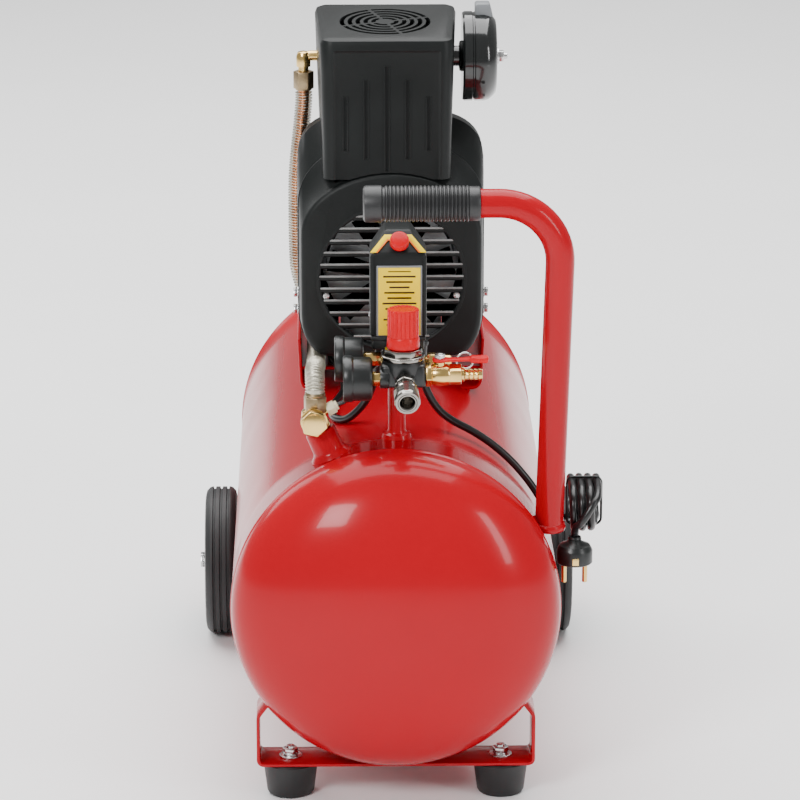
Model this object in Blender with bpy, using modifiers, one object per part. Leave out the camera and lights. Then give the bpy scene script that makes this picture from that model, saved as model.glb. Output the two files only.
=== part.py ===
"""Direct-drive air compressor on a horizontal wheeled tank.

Metres, +Z up. The controls are at the -Y end and the pump stands over the +Y half. The origin is on
the floor under the middle of the tank. Every visible object is one solid piece of the machine.
"""

import math

import bmesh
import bpy
from mathutils import Vector

# ---------------------------------------------------------------- driving dimensions
GAP = 0.0003  # clearance between pieces that touch

TANK_RADIUS = 0.150
TANK_LENGTH = 0.611  # between the two weld seams
TANK_WALL = 0.0025
DOME_DEPTH = 0.070
TANK_SIDES = 40

FOOT_HEIGHT = 0.032
FOOT_TOP_RADIUS = 0.025
FOOT_BASE_RADIUS = 0.0215
FOOT_SPREAD = 0.097  # from the middle plane to a foot's axis
STRAP_SHEET = 0.003
STRAP_WIDTH = 0.045
STRAP_HALF_SPAN = 0.1265
STRAP_SIDE_HEIGHT = 0.047
WELD_ROOM = 0.0004
FOOT_FROM_SEAM = 0.0225
BOLT_RADIUS = 0.004
BOLT_HEAD_RADIUS = 0.0075

WHEEL_RADIUS = 0.075
WHEEL_WIDTH = 0.032
WHEEL_MIDDLE_X = 0.170
WHEEL_FROM_REAR_SEAM = 0.138
HUB_RADIUS = 0.0517
HUB_BOSS_RADIUS = 0.014
AXLE_RADIUS = 0.005
AXLE_CLEARANCE = 0.0004
AXLE_END_X = 0.192
WHEEL_STRAP_WIDTH = 0.050

HANDLE_TUBE_RADIUS = 0.013
HANDLE_BEND_RADIUS = 0.055
HANDLE_FOOT_ANGLE = math.radians(28)  # above the tank's horizontal middle plane
HANDLE_STANDOFF = 0.0087
HANDLE_LEAN_X = 0.0075
HANDLE_FROM_SEAM = 0.030
HANDLE_RISE = 0.2286  # grip axis over the tank's top
GRIP_RADIUS = 0.0165
GRIP_LENGTH = 0.104
GRIP_END_X = -0.029

PORT_ANGLE = math.radians(-23)  # from straight up, towards -X
PORT_FROM_SEAM = 0.031
PORT_RADIUS = 0.014
PORT_HEIGHT = 0.025

POST_RADIUS = 0.008
POST_BORE = 0.0045
POST_X = 0.0015
POST_FROM_SEAM = 0.046
POST_HEIGHT = 0.0555

MANIFOLD_X = (-0.013, 0.027)
MANIFOLD_FROM_SEAM = (0.008, 0.064)
MANIFOLD_HEIGHT = 0.025
REGULATOR_X = 0.007
REGULATOR_FROM_SEAM = 0.024
REGULATOR_RING_RADIUS = 0.019
KNOB_RADIUS = 0.015
KNOB_HEIGHT = 0.039

SWITCH_X = 0.003
SWITCH_WIDTH = 0.051
SWITCH_FROM_SEAM = (0.046, 0.098)
SWITCH_BASE_HEIGHT = 0.013
SWITCH_COVER_HEIGHT = 0.095
SWITCH_CHAMFER = (0.014, 0.021)
SWITCH_WALL = 0.0025
PUSH_KNOB_RADIUS = 0.0095
PUSH_KNOB_TRAVEL = 0.006

GAUGE_RADIUS = 0.021
GAUGE_DEPTH = 0.031

COUPLER_DIRECTION = Vector((0.04, -0.98, -0.19)).normalized()
COUPLER_SLEEVE_RADIUS = 0.0115
COUPLER_BORE = 0.006
COUPLER_LENGTH = 0.044

VALVE_FROM_SEAM = 0.021
VALVE_LENGTH = 0.051
LEVER_LENGTH = 0.044

PUMP_FROM_SEAM = 0.235  # front face of the pump's front cover
CRANK_RISE = 0.0986  # crank axis over the tank's top
CRANK_THROW = 0.020
ROD_LENGTH = 0.110
BORE_RADIUS = 0.0235
COVER_HALF_WIDTH = 0.0857
COVER_WALL = 0.0025
WINDOW_RADIUS = 0.069
SLAT_PITCH = 0.0117
SLAT_GAP = 0.0062
MOTOR_RADIUS = 0.072
MOTOR_FIN = 0.005
MOTOR_FINS = 20
DUCT_OFFSET_X = -0.0040
DUCT_HALF_WIDTH = 0.062
DUCT_TOP_RISE = 0.230  # front edge of the duct's top over the crank axis
GRILLE_RADIUS = 0.046

FILTER_RADIUS = 0.0425
FILTER_X = (0.068, 0.1015)

SADDLE_WALL_X = COVER_HALF_WIDTH + 0.0023  # in line with the pump cover's sides
SADDLE_SHEET = 0.003
SADDLE_HEIGHT = 0.0505
SADDLE_FOOT_X = 0.072
SADDLE_FROM_SEAM = (0.260, 0.470)

PIPE_RADIUS = 0.0085
CABLE_RADIUS = 0.0036
HANK_LENGTH = 0.075
HANK_HEIGHT = 0.044
HANK_THICKNESS = 0.0305

# ---------------------------------------------------------------- derived positions
TANK_AXIS = FOOT_HEIGHT + STRAP_SHEET + WELD_ROOM + TANK_RADIUS
TOP = TANK_AXIS + TANK_RADIUS
FRONT = -TANK_LENGTH / 2
REAR = TANK_LENGTH / 2
CRANK_AXIS = TOP + CRANK_RISE
PUMP = FRONT + PUMP_FROM_SEAM
TOWARDS_FRONT = (0, -1, 0)

for leftover in list(bpy.data.objects):
    bpy.data.objects.remove(leftover, do_unlink=True)
PARTS = bpy.data.collections.new("air_compressor")
CUTTERS = bpy.data.collections.new("cutters")
for collection in (PARTS, CUTTERS):
    bpy.context.scene.collection.children.link(collection)


# ---------------------------------------------------------------- tools
def finish(name, colour, roughness, metallic=0.0):
    """A Principled material for one kind of surface."""
    made = bpy.data.materials.new(name)
    made.use_nodes = True
    shader = made.node_tree.nodes["Principled BSDF"]
    shader.inputs["Base Color"].default_value = (*colour, 1)
    shader.inputs["Roughness"].default_value = roughness
    shader.inputs["Metallic"].default_value = metallic
    return made


RED_PAINT = ("red_paint", (0.68, 0.010, 0.016), 0.22, 0.0)
BLACK_PLASTIC = ("black_plastic", (0.022, 0.024, 0.025), 0.42, 0.0)
BLACK_RUBBER = ("black_rubber", (0.014, 0.014, 0.015), 0.62, 0.0)
STEEL = ("zinc_steel", (0.55, 0.56, 0.57), 0.28, 1.0)
BRASS = ("brass", (0.78, 0.56, 0.24), 0.25, 1.0)
COPPER = ("copper", (0.80, 0.42, 0.26), 0.30, 1.0)
CAST_ALUMINIUM = ("cast_aluminium", (0.52, 0.53, 0.54), 0.48, 1.0)
RED_PLASTIC = ("red_plastic", (0.70, 0.012, 0.020), 0.30, 0.0)


def place(name, data, look, at=(0, 0, 0), up=(0, 0, 1)):
    """Links one object, its local Z turned to the direction up, and gives it its own material."""
    data.materials.append(finish(f"{name}_{look[0]}", *look[1:]))
    piece = bpy.data.objects.new(name, data)
    PARTS.objects.link(piece)
    piece.location = at
    piece.rotation_euler = Vector((0, 0, 1)).rotation_difference(Vector(up)).to_euler()
    return piece


def smooth(mesh):
    mesh.shade_smooth()
    mesh.set_sharp_from_angle(angle=math.radians(35))


def from_bmesh(name, work):
    mesh = bpy.data.meshes.new(name)
    bmesh.ops.recalc_face_normals(work, faces=work.faces)
    work.to_mesh(mesh)
    work.free()
    return mesh


def box(name, low, high, look, bevel=0.0):
    """A block between two corners, its vertical and horizontal edges rounded by bevel."""
    low, high = Vector(low), Vector(high)
    work = bmesh.new()
    bmesh.ops.create_cube(work, size=1)
    bmesh.ops.scale(work, vec=high - low, verts=work.verts)
    piece = place(name, from_bmesh(name, work), look, (low + high) / 2)
    if bevel:
        round_off = piece.modifiers.new("Round", "BEVEL")
        round_off.width = bevel
        round_off.segments = 2
        round_off.limit_method = "ANGLE"
    return piece


def rod(name, start, end, radius, look, sides=24, end_radius=None):
    """A straight cylinder, cone or hexagon between two points."""
    start, end = Vector(start), Vector(end)
    work = bmesh.new()
    bmesh.ops.create_cone(
        work,
        cap_ends=True,
        segments=sides,
        radius1=radius,
        radius2=radius if end_radius is None else end_radius,
        depth=(end - start).length,
    )
    mesh = from_bmesh(name, work)
    smooth(mesh)
    return place(name, mesh, look, (start + end) / 2, end - start)


def turned(name, profile, look, at, up=(0, 0, 1), steps=24, ring=False):
    """A turned piece. The profile holds (radius, height) and runs down the outer side."""
    mesh = bpy.data.meshes.new(name)
    count = len(profile)
    edges = [(i, i + 1) for i in range(count - 1)]
    if ring:
        edges.append((count - 1, 0))
    mesh.from_pydata([(radius, 0, height) for radius, height in profile], edges, [])
    piece = place(name, mesh, look, at, up)
    turn = piece.modifiers.new("Turn", "SCREW")
    turn.steps = turn.render_steps = steps
    turn.use_merge_vertices = True
    turn.merge_threshold = 0.00005
    turn.use_smooth_shade = False
    return piece


def outline(name, loops, thickness, look, at, up=(0, 0, 1)):
    """A flat piece: closed loops of (x, y), the later ones holes, given a thickness about the plane."""
    curve = bpy.data.curves.new(name, "CURVE")
    curve.dimensions = "2D"
    curve.fill_mode = "BOTH"
    curve.extrude = thickness / 2
    for loop in loops:
        spline = curve.splines.new("POLY")
        spline.points.add(len(loop) - 1)
        for point, (x, y) in zip(spline.points, loop):
            point.co = (x, y, 0, 1)
        spline.use_cyclic_u = True
    return place(name, curve, look, at, up)


def tube(name, points, radius, look, resolution=2):
    """A round tube or cable along points, closed at both ends."""
    curve = bpy.data.curves.new(name, "CURVE")
    curve.dimensions = "3D"
    curve.bevel_depth = radius
    curve.bevel_resolution = resolution
    curve.use_fill_caps = True
    spline = curve.splines.new("POLY")
    spline.points.add(len(points) - 1)
    for point, co in zip(spline.points, points):
        point.co = (*co, 1)
    return place(name, curve, look)


def as_mesh(piece):
    """The same curve piece as a closed mesh object, ready to be cut or joined."""
    graph = bpy.context.evaluated_depsgraph_get()
    mesh = bpy.data.meshes.new_from_object(piece.evaluated_get(graph))
    work = bmesh.new()
    work.from_mesh(mesh)
    bmesh.ops.remove_doubles(work, verts=work.verts, dist=0.00001)
    bmesh.ops.recalc_face_normals(work, faces=work.faces)
    work.to_mesh(mesh)
    work.free()
    solid = bpy.data.objects.new(piece.name, mesh)
    PARTS.objects.link(solid)
    solid.matrix_world = piece.matrix_world
    name = piece.name
    bpy.data.objects.remove(piece)
    solid.name = name
    return solid


def strip(name, path, start, end, sheet, look):
    """A bent sheet: a path of (x, z) drawn from start to end along Y."""
    mesh = bpy.data.meshes.new(name)
    count = len(path)
    rows = [(x, y, z) for y in (start, end) for x, z in path]
    faces = [(i, i + 1, count + i + 1, count + i) for i in range(count - 1)]
    mesh.from_pydata(rows, [], faces)
    piece = place(name, mesh, look)
    thicken = piece.modifiers.new("Sheet", "SOLIDIFY")
    thicken.thickness = sheet
    thicken.offset = 0
    thicken.use_even_offset = True
    return piece


def loft(name, sections, look):
    """A solid skinned through closed sections of equal point count, capped at the first and the last."""
    work = bmesh.new()
    rings = [[work.verts.new(point) for point in section] for section in sections]
    for near, far in zip(rings, rings[1:]):
        for i in range(len(near)):
            j = (i + 1) % len(near)
            work.faces.new((near[i], near[j], far[j], far[i]))
    work.faces.new(rings[0])
    work.faces.new(rings[-1])
    mesh = from_bmesh(name, work)
    smooth(mesh)
    return place(name, mesh, look)


def combine(target, tool, operation):
    """A live Boolean. The tool moves to the cutters' collection."""
    if tool.name in PARTS.objects:
        PARTS.objects.unlink(tool)
        CUTTERS.objects.link(tool)
    tool.hide_render = True
    tool.display_type = "WIRE"
    boolean = target.modifiers.new(operation.title(), "BOOLEAN")
    boolean.operation = operation
    boolean.solver = "EXACT"
    boolean.object = tool


def cut(target, *tools):
    for tool in tools:
        combine(target, tool, "DIFFERENCE")


def join(target, *tools):
    for tool in tools:
        combine(target, tool, "UNION")


def rounded(points, radius, segments=6):
    """The same polyline with each inner corner replaced by an arc, in two or three dimensions."""
    corners = [Vector(point) for point in points]
    path = [corners[0]]
    for before, corner, after in zip(corners, corners[1:], corners[2:]):
        back = (before - corner).normalized()
        ahead = (after - corner).normalized()
        half = back.angle(ahead) / 2
        inset = min(radius / math.tan(half), (before - corner).length * 0.49, (after - corner).length * 0.49)
        centre = corner + (back + ahead).normalized() * (inset / math.cos(half))
        arm_start = corner + back * inset - centre
        arm_end = corner + ahead * inset - centre
        sweep = arm_start.angle(arm_end)
        for step in range(segments + 1):
            share = step / segments
            arm = arm_start * math.sin((1 - share) * sweep) + arm_end * math.sin(share * sweep)
            path.append(centre + arm / math.sin(sweep))
    path.append(corners[-1])
    return path


def smooth_route(route, spacing):
    """Points at an even spacing on the Catmull-Rom curve through the route."""
    knots = [Vector(point) for point in route]
    knots = [2 * knots[0] - knots[1], *knots, 2 * knots[-1] - knots[-2]]
    fine = []
    for a, b, c, d in zip(knots, knots[1:], knots[2:], knots[3:]):
        for step in range(20):
            t = step / 20
            fine.append(
                0.5 * (2 * b + (c - a) * t + (2 * a - 5 * b + 4 * c - d) * t * t + (3 * b - a - 3 * c + d) * t**3)
            )
    fine.append(knots[-2])
    lengths = [0.0]
    for near, far in zip(fine, fine[1:]):
        lengths.append(lengths[-1] + (far - near).length)
    count = max(2, round(lengths[-1] / spacing))
    points, index = [], 0
    for step in range(count + 1):
        target = lengths[-1] * step / count
        while index < len(fine) - 2 and lengths[index + 1] < target:
            index += 1
        stretch = lengths[index + 1] - lengths[index]
        share = (target - lengths[index]) / stretch if stretch else 0
        points.append(fine[index].lerp(fine[index + 1], min(share, 1)))
    return points


def thinned(points, turn=math.radians(7), reach=0.045):
    """The same path with fewer points: one where it has turned by the angle or run the distance."""
    kept = [points[0], points[1]]
    heading = points[1] - points[0]
    for point, after in zip(points[2:], points[3:]):
        if heading.angle(after - point) > turn or (point - kept[-1]).length > reach:
            kept.append(point)
            heading = after - point
    return [*kept, points[-1]]


def on_tank(angle, height, y):
    """A point at a height over the tank's skin, at an angle from straight up towards +X."""
    reach = TANK_RADIUS + height
    return Vector((reach * math.sin(angle), y, TANK_AXIS + reach * math.cos(angle)))


def circle(radius, sides, centre=(0, 0)):
    turn = 2 * math.pi / sides
    return [(centre[0] + radius * math.cos(i * turn), centre[1] + radius * math.sin(i * turn)) for i in range(sides)]


def tank_cutter():
    """The tank's outer shape with the clearance added, for pieces that are welded to it."""
    reach = (TANK_RADIUS + GAP) / math.cos(math.pi / TANK_SIDES)
    long_way = TANK_LENGTH / 2 + DOME_DEPTH
    cutter = rod("tank_shape", (0, -long_way, TANK_AXIS), (0, long_way, TANK_AXIS), reach, STEEL, TANK_SIDES)
    return cutter


TANK_SHAPE = tank_cutter()


# ---------------------------------------------------------------- tank
def tank():
    half = TANK_LENGTH / 2 - GAP / 2
    inner = TANK_RADIUS - TANK_WALL
    barrel = turned(
        "tank_barrel",
        [(TANK_RADIUS, half), (TANK_RADIUS, -half), (inner, -half), (inner, half)],
        RED_PAINT,
        (0, 0, TANK_AXIS),
        TOWARDS_FRONT,
        TANK_SIDES,
        ring=True,
    )
    port_y = FRONT + PORT_FROM_SEAM
    cut(
        barrel,
        rod("port_hole", on_tank(PORT_ANGLE, -0.01, port_y), on_tank(PORT_ANGLE, 0.01, port_y), 0.007, STEEL, 12),
        rod("post_hole", (POST_X, FRONT + POST_FROM_SEAM, TOP - 0.01), (POST_X, FRONT + POST_FROM_SEAM, TOP + 0.01), POST_BORE, STEEL, 12),
        rod("drain_hole", (0, 0, TANK_AXIS - TANK_RADIUS - 0.01), (0, 0, TANK_AXIS - TANK_RADIUS + 0.01), 0.005, STEEL, 12),
    )
    for name, side in (("tank_front_head", -1), ("tank_rear_head", 1)):
        tank_head(name, side)


def tank_head(name, side):
    """A dished end: a half ellipse turned about the tank's axis, open towards the barrel."""
    outer_steps, inner_steps = 7, 4
    inner_radius, inner_depth = TANK_RADIUS - TANK_WALL, DOME_DEPTH - TANK_WALL
    profile = []
    for step in range(outer_steps + 1):
        angle = math.pi / 2 * (1 - step / outer_steps)
        profile.append((TANK_RADIUS * math.cos(angle), DOME_DEPTH * math.sin(angle)))
    for step in range(inner_steps + 1):
        angle = math.pi / 2 * step / inner_steps
        profile.append((inner_radius * math.cos(angle), inner_depth * math.sin(angle)))
    profile[0] = (0, DOME_DEPTH)
    profile[-1] = (0, inner_depth)
    seam = side * (TANK_LENGTH / 2 + GAP / 2)
    turned(name, profile, RED_PAINT, (0, seam, TANK_AXIS), (0, side, 0), TANK_SIDES)


# ---------------------------------------------------------------- supports
def strap_path(half_span, side_height):
    """Half of a foot strap, from the middle out, up, and in to the tank; mirrored to a whole."""
    base = FOOT_HEIGHT + STRAP_SHEET / 2
    knee = base + side_height
    corner = [(0, base), (half_span, base), (half_span, knee)]
    lean_in, lean_up = 0.0225, 0.030
    half = [*rounded(corner, 0.004, 3), Vector((half_span - lean_in, knee + lean_up))]
    return [Vector((-x, z)) for x, z in reversed(half[1:])] + half


def foot_strap():
    """The bent strap under the tank that carries the two rubber feet."""
    path = strap_path(STRAP_HALF_SPAN, STRAP_SIDE_HEIGHT)
    strap = strip("foot_strap", path, FRONT, FRONT + STRAP_WIDTH, STRAP_SHEET, RED_PAINT)
    cut(strap, TANK_SHAPE)
    y = FRONT + FOOT_FROM_SEAM
    for side, word in ((-1, "left"), (1, "right")):
        x = side * FOOT_SPREAD
        cut(strap, rod(f"foot_hole_{word}", (x, y, FOOT_HEIGHT - 0.005), (x, y, FOOT_HEIGHT + 0.01), BOLT_RADIUS + GAP, STEEL, 12))
        foot(word, x, y)
        foot_bolt(word, x, y)


def foot(word, x, y):
    height = FOOT_HEIGHT - GAP
    bore = BOLT_RADIUS + GAP
    bore_end = height - 0.020
    profile = [(bore, height), (FOOT_TOP_RADIUS, height), (FOOT_BASE_RADIUS, 0.003), (FOOT_BASE_RADIUS - 0.003, 0), (0, 0)]
    profile = [(0, bore_end), (bore, bore_end), *profile]
    turned(f"foot_{word}", profile, BLACK_RUBBER, (x, y, 0), steps=20)


def foot_bolt(word, x, y):
    """Hexagon bolt and washer on the strap, screwed down into the foot."""
    plate_top = FOOT_HEIGHT + STRAP_SHEET + GAP
    washer = 0.0015
    shank_end = FOOT_HEIGHT - 0.018
    profile = [
        (0, plate_top + washer),
        (0.010, plate_top + washer),
        (0.010, plate_top),
        (BOLT_RADIUS, plate_top),
        (BOLT_RADIUS, shank_end),
        (0, shank_end),
    ]
    bolt = turned(f"foot_bolt_{word}", profile, STEEL, (x, y, 0), steps=12)
    head_low = (x, y, plate_top + washer / 2)
    join(bolt, rod(f"foot_bolt_head_{word}", head_low, (x, y, plate_top + washer + 0.0055), BOLT_HEAD_RADIUS, STEEL, 6))


def wheels():
    axle_y = REAR - WHEEL_FROM_REAR_SEAM
    boss_inner = WHEEL_WIDTH / 2 + 0.006
    side_x = WHEEL_MIDDLE_X - boss_inner - 0.0005 - STRAP_SHEET / 2
    strap = strip(
        "wheel_strap",
        strap_path(side_x, WHEEL_RADIUS - FOOT_HEIGHT + 0.022),
        axle_y - WHEEL_STRAP_WIDTH / 2,
        axle_y + WHEEL_STRAP_WIDTH / 2,
        STRAP_SHEET,
        RED_PAINT,
    )
    cut(strap, TANK_SHAPE)
    for side, word in ((-1, "left"), (1, "right")):
        hole_low = (side * (side_x - 0.01), axle_y, WHEEL_RADIUS)
        hole_high = (side * (side_x + 0.01), axle_y, WHEEL_RADIUS)
        cut(strap, rod(f"axle_hole_{word}", hole_low, hole_high, AXLE_RADIUS + AXLE_CLEARANCE, STEEL, 16))
        wheel(word, side, axle_y)
        axle_bolt(word, side, axle_y, side_x)


def wheel(word, side, axle_y):
    """Plastic hub and grooved rubber tyre, both turned about the axle."""
    half = WHEEL_WIDTH / 2
    bore = AXLE_RADIUS + AXLE_CLEARANCE
    rim, hub_half, web = HUB_RADIUS - 0.006, half - 0.002, 0.004
    at, up = (side * WHEEL_MIDDLE_X, axle_y, WHEEL_RADIUS), (side, 0, 0)
    turned(
        f"wheel_hub_{word}",
        [
            (HUB_RADIUS, hub_half),
            (HUB_RADIUS, -hub_half),
            (rim, -hub_half),
            (rim - 0.002, -web),
            (HUB_BOSS_RADIUS, -web),
            (HUB_BOSS_RADIUS, -half - 0.006),
            (bore, -half - 0.006),
            (bore, half),
            (HUB_BOSS_RADIUS, half),
            (HUB_BOSS_RADIUS, web),
            (rim - 0.002, web),
            (rim, hub_half),
        ],
        BLACK_PLASTIC,
        at,
        up,
        24,
        ring=True,
    )
    inner, shoulder, groove = HUB_RADIUS + GAP, WHEEL_RADIUS - 0.004, 0.0025
    profile = [(inner, half - 0.001), (shoulder - 0.006, half), (shoulder, half), (WHEEL_RADIUS, half - 0.005)]
    for middle in (0.0045, -0.0045):
        for offset, depth in ((0.0015, 0), (0.0015, groove), (-0.0015, groove), (-0.0015, 0)):
            profile.append((WHEEL_RADIUS - depth, middle + offset))
    profile += [(WHEEL_RADIUS, 0.005 - half), (shoulder, -half), (shoulder - 0.006, -half), (inner, 0.001 - half)]
    turned(f"tyre_{word}", profile, BLACK_RUBBER, at, up, 32, ring=True)


def axle_bolt(word, side, axle_y, side_x):
    """Axle bolt with its washer and head outside the wheel and its nut inside the strap."""
    washer_face = WHEEL_MIDDLE_X + WHEEL_WIDTH / 2 + GAP
    nut_face = side_x - STRAP_SHEET / 2 - GAP
    profile = [
        (0, AXLE_END_X),
        (0.0075, AXLE_END_X),
        (0.0075, washer_face + 0.0015),
        (0.0110, washer_face + 0.0015),
        (0.0110, washer_face),
        (AXLE_RADIUS, washer_face),
        (AXLE_RADIUS, nut_face),
        (0.0085, nut_face),
        (0.0085, nut_face - 0.008),
        (0, nut_face - 0.008),
    ]
    turned(f"axle_bolt_{word}", profile, STEEL, (0, axle_y, WHEEL_RADIUS), (side, 0, 0), 12)


def drain():
    """Drain valve under the tank and the wing screw that opens it."""
    top = TANK_AXIS - TANK_RADIUS - GAP
    valve = turned(
        "drain_valve",
        [(0, top), (0.009, top), (0.009, top - 0.009), (0.006, top - 0.009), (0.006, top - 0.018), (0, top - 0.018)],
        BRASS,
        (0, 0, 0),
        steps=12,
    )
    spout = rod("drain_spout", (0, 0, top - 0.0135), (0, 0.013, top - 0.0135), 0.003, BRASS, 10)
    join(valve, spout)
    wing_top = top - 0.018 - GAP
    wing = rod("drain_wing", (0, 0, wing_top - 0.009), (0, 0, wing_top), 0.0055, BRASS, 12)
    join(wing, box("drain_wing_blade", (-0.014, -0.0015, wing_top - 0.011), (0.014, 0.0015, wing_top - 0.002), BRASS))


# ---------------------------------------------------------------- handle
def handle():
    """Bent tube welded to the tank's side, with a rubber grip on its level end."""
    reach = TANK_RADIUS + HANDLE_STANDOFF
    foot_x = reach * math.cos(HANDLE_FOOT_ANGLE)
    foot_z = TANK_AXIS + reach * math.sin(HANDLE_FOOT_ANGLE) - 0.006
    grip_z = TOP + HANDLE_RISE
    end_x = GRIP_END_X + 0.004
    corners = [
        (foot_x, FRONT + HANDLE_FROM_SEAM, foot_z),
        (foot_x + HANDLE_LEAN_X, FRONT, grip_z),
        (end_x, FRONT, grip_z),
    ]
    tubing = as_mesh(tube("handle_tube", rounded(corners, HANDLE_BEND_RADIUS, 7), HANDLE_TUBE_RADIUS, RED_PAINT, 3))
    cut(tubing, TANK_SHAPE)
    bore = HANDLE_TUBE_RADIUS + GAP
    cap = 0.004 - GAP
    turned(
        "handle_grip",
        [
            (0, GRIP_LENGTH),
            (GRIP_RADIUS, GRIP_LENGTH),
            (GRIP_RADIUS, GRIP_LENGTH - 0.003),
            (GRIP_RADIUS - 0.001, GRIP_LENGTH - 0.004),
            (GRIP_RADIUS - 0.001, 0.001),
            (GRIP_RADIUS - 0.002, 0),
            (bore, 0),
            (bore, GRIP_LENGTH - cap),
            (0, GRIP_LENGTH - cap),
        ],
        BLACK_RUBBER,
        (GRIP_END_X + GRIP_LENGTH, FRONT, grip_z),
        (-1, 0, 0),
        24,
    )


# ---------------------------------------------------------------- tank fittings
def check_valve():
    """Welded socket, and the check valve on it with its cap to the front and its pipe nut on top."""
    y = FRONT + PORT_FROM_SEAM
    socket = rod("valve_socket", on_tank(PORT_ANGLE, -0.006, y), on_tank(PORT_ANGLE, PORT_HEIGHT, y), PORT_RADIUS, RED_PAINT, 20)
    cut(socket, TANK_SHAPE)
    cut(socket, rod("socket_bore", on_tank(PORT_ANGLE, -0.02, y), on_tank(PORT_ANGLE, PORT_HEIGHT + 0.01, y), 0.007, STEEL, 12))
    body_middle = on_tank(PORT_ANGLE, PORT_HEIGHT + 0.013, y)
    valve = rod("check_valve", on_tank(PORT_ANGLE, PORT_HEIGHT + GAP, y), on_tank(PORT_ANGLE, PORT_HEIGHT + 0.024, y), 0.011, BRASS, 16)
    cap_front = body_middle + Vector((-0.001, -0.026, 0))
    nut_top = body_middle + Vector((0.001, 0, 0.020))
    side_port = Vector((0.88, 0.10, 0.46))
    join(
        valve,
        rod("check_valve_neck", body_middle, body_middle + Vector((0, -0.016, 0)), 0.0085, BRASS, 16),
        rod("check_valve_cap", body_middle + Vector((-0.0005, -0.014, 0)), cap_front, 0.0125, BRASS, 6),
        rod("check_valve_nut", nut_top - Vector((0, 0, 0.016)), nut_top, 0.0105, BRASS, 6),
        rod("unloader_neck", body_middle, body_middle + side_port * 0.017, 0.0035, BRASS, 10),
        rod("unloader_nut", body_middle + side_port * 0.013, body_middle + side_port * 0.024, 0.0062, BRASS, 6),
    )
    return nut_top


def post_and_manifold():
    """Standpipe from the tank, and the block on it that holds the regulator, gauges and outlets."""
    y = FRONT + POST_FROM_SEAM
    base, top = TOP - 0.006, TOP + POST_HEIGHT
    post = rod("switch_post", (POST_X, y, base), (POST_X, y, top - GAP), POST_RADIUS, RED_PAINT, 20)
    join(post, rod("post_collar", (POST_X, y, base), (POST_X, y, TOP + 0.0035), 0.0125, RED_PAINT, 20))
    cut(post, TANK_SHAPE)
    cut(post, rod("post_bore", (POST_X, y, base - 0.01), (POST_X, y, top + 0.01), POST_BORE, STEEL, 12))
    low = (MANIFOLD_X[0], FRONT + MANIFOLD_FROM_SEAM[0], top)
    high = (MANIFOLD_X[1], FRONT + MANIFOLD_FROM_SEAM[1], top + MANIFOLD_HEIGHT)
    block = box("manifold", low, high, BLACK_PLASTIC, 0.002)
    x, front_y, ring_top = REGULATOR_X, FRONT + REGULATOR_FROM_SEAM, top + MANIFOLD_HEIGHT + 0.007
    join(
        block,
        rod("regulator_bowl", (x, front_y, top + 0.0045), (x, front_y, ring_top - 0.003), 0.0175, BLACK_PLASTIC, 20),
        rod("regulator_ring", (x, front_y, ring_top - 0.0078), (x, front_y, ring_top), REGULATOR_RING_RADIUS, STEEL, 12),
    )
    knob_low = ring_top + GAP
    knob = star_knob("regulator_knob", (x, front_y, knob_low), KNOB_RADIUS, KNOB_HEIGHT)
    return top, knob


def star_knob(name, base, radius, height):
    """A fluted knob standing on base."""
    flutes = 16
    loop = []
    for i in range(flutes * 2):
        reach = radius if i % 2 else radius - 0.0012
        angle = math.pi * i / flutes
        loop.append((reach * math.cos(angle), reach * math.sin(angle)))
    at = Vector(base) + Vector((0, 0, height / 2))
    return outline(name, [loop], height, RED_PLASTIC, at)


def pressure_switch(manifold_base):
    """Switch base and hollow cover on the manifold, and the pull knob on the cover's sloped brow."""
    low_y, high_y = (FRONT + value for value in SWITCH_FROM_SEAM)
    base_low = manifold_base + MANIFOLD_HEIGHT + GAP
    half = SWITCH_WIDTH / 2
    base_top = base_low + SWITCH_BASE_HEIGHT
    box("switch_base", (SWITCH_X - half + 0.002, low_y + 0.002, base_low), (SWITCH_X + half - 0.002, high_y - 0.002, base_top), BLACK_PLASTIC, 0.0015)
    across, down = SWITCH_CHAMFER
    cover_low = base_top + GAP
    cover_top = cover_low + SWITCH_COVER_HEIGHT
    face = [
        (-half, cover_low),
        (half, cover_low),
        (half, cover_top - down),
        (half - across, cover_top),
        (across - half, cover_top),
        (-half, cover_top - down),
    ]
    cover = loft(
        "switch_cover",
        [[(SWITCH_X + x, y, z) for x, z in face] for y in (low_y, high_y)],
        BLACK_PLASTIC,
    )
    brow = 0.018
    brow_cut = box("brow", (-0.05, -0.03, 0), (0.05, 0.03, 0.03), BLACK_PLASTIC)
    brow_cut.location = (SWITCH_X, low_y + brow / 2, cover_top - brow / 2)
    brow_cut.rotation_euler = (math.radians(45), 0, 0)
    outward = Vector((0, -1, 1)).normalized()
    brow_cut.location += outward * 0.015
    wall = SWITCH_WALL
    hollow = box(
        "switch_hollow",
        (SWITCH_X - half + wall, low_y + wall, cover_low - 0.01),
        (SWITCH_X + half - wall, high_y - wall, cover_top - down - wall),
        BLACK_PLASTIC,
    )
    cut(cover, brow_cut, hollow)
    foot_of_knob = Vector((SWITCH_X + 0.001, low_y + brow / 2, cover_top - brow / 2)) + outward * GAP
    rod("switch_knob", foot_of_knob, foot_of_knob + outward * 0.012, PUSH_KNOB_RADIUS, RED_PLASTIC, 20)


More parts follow.
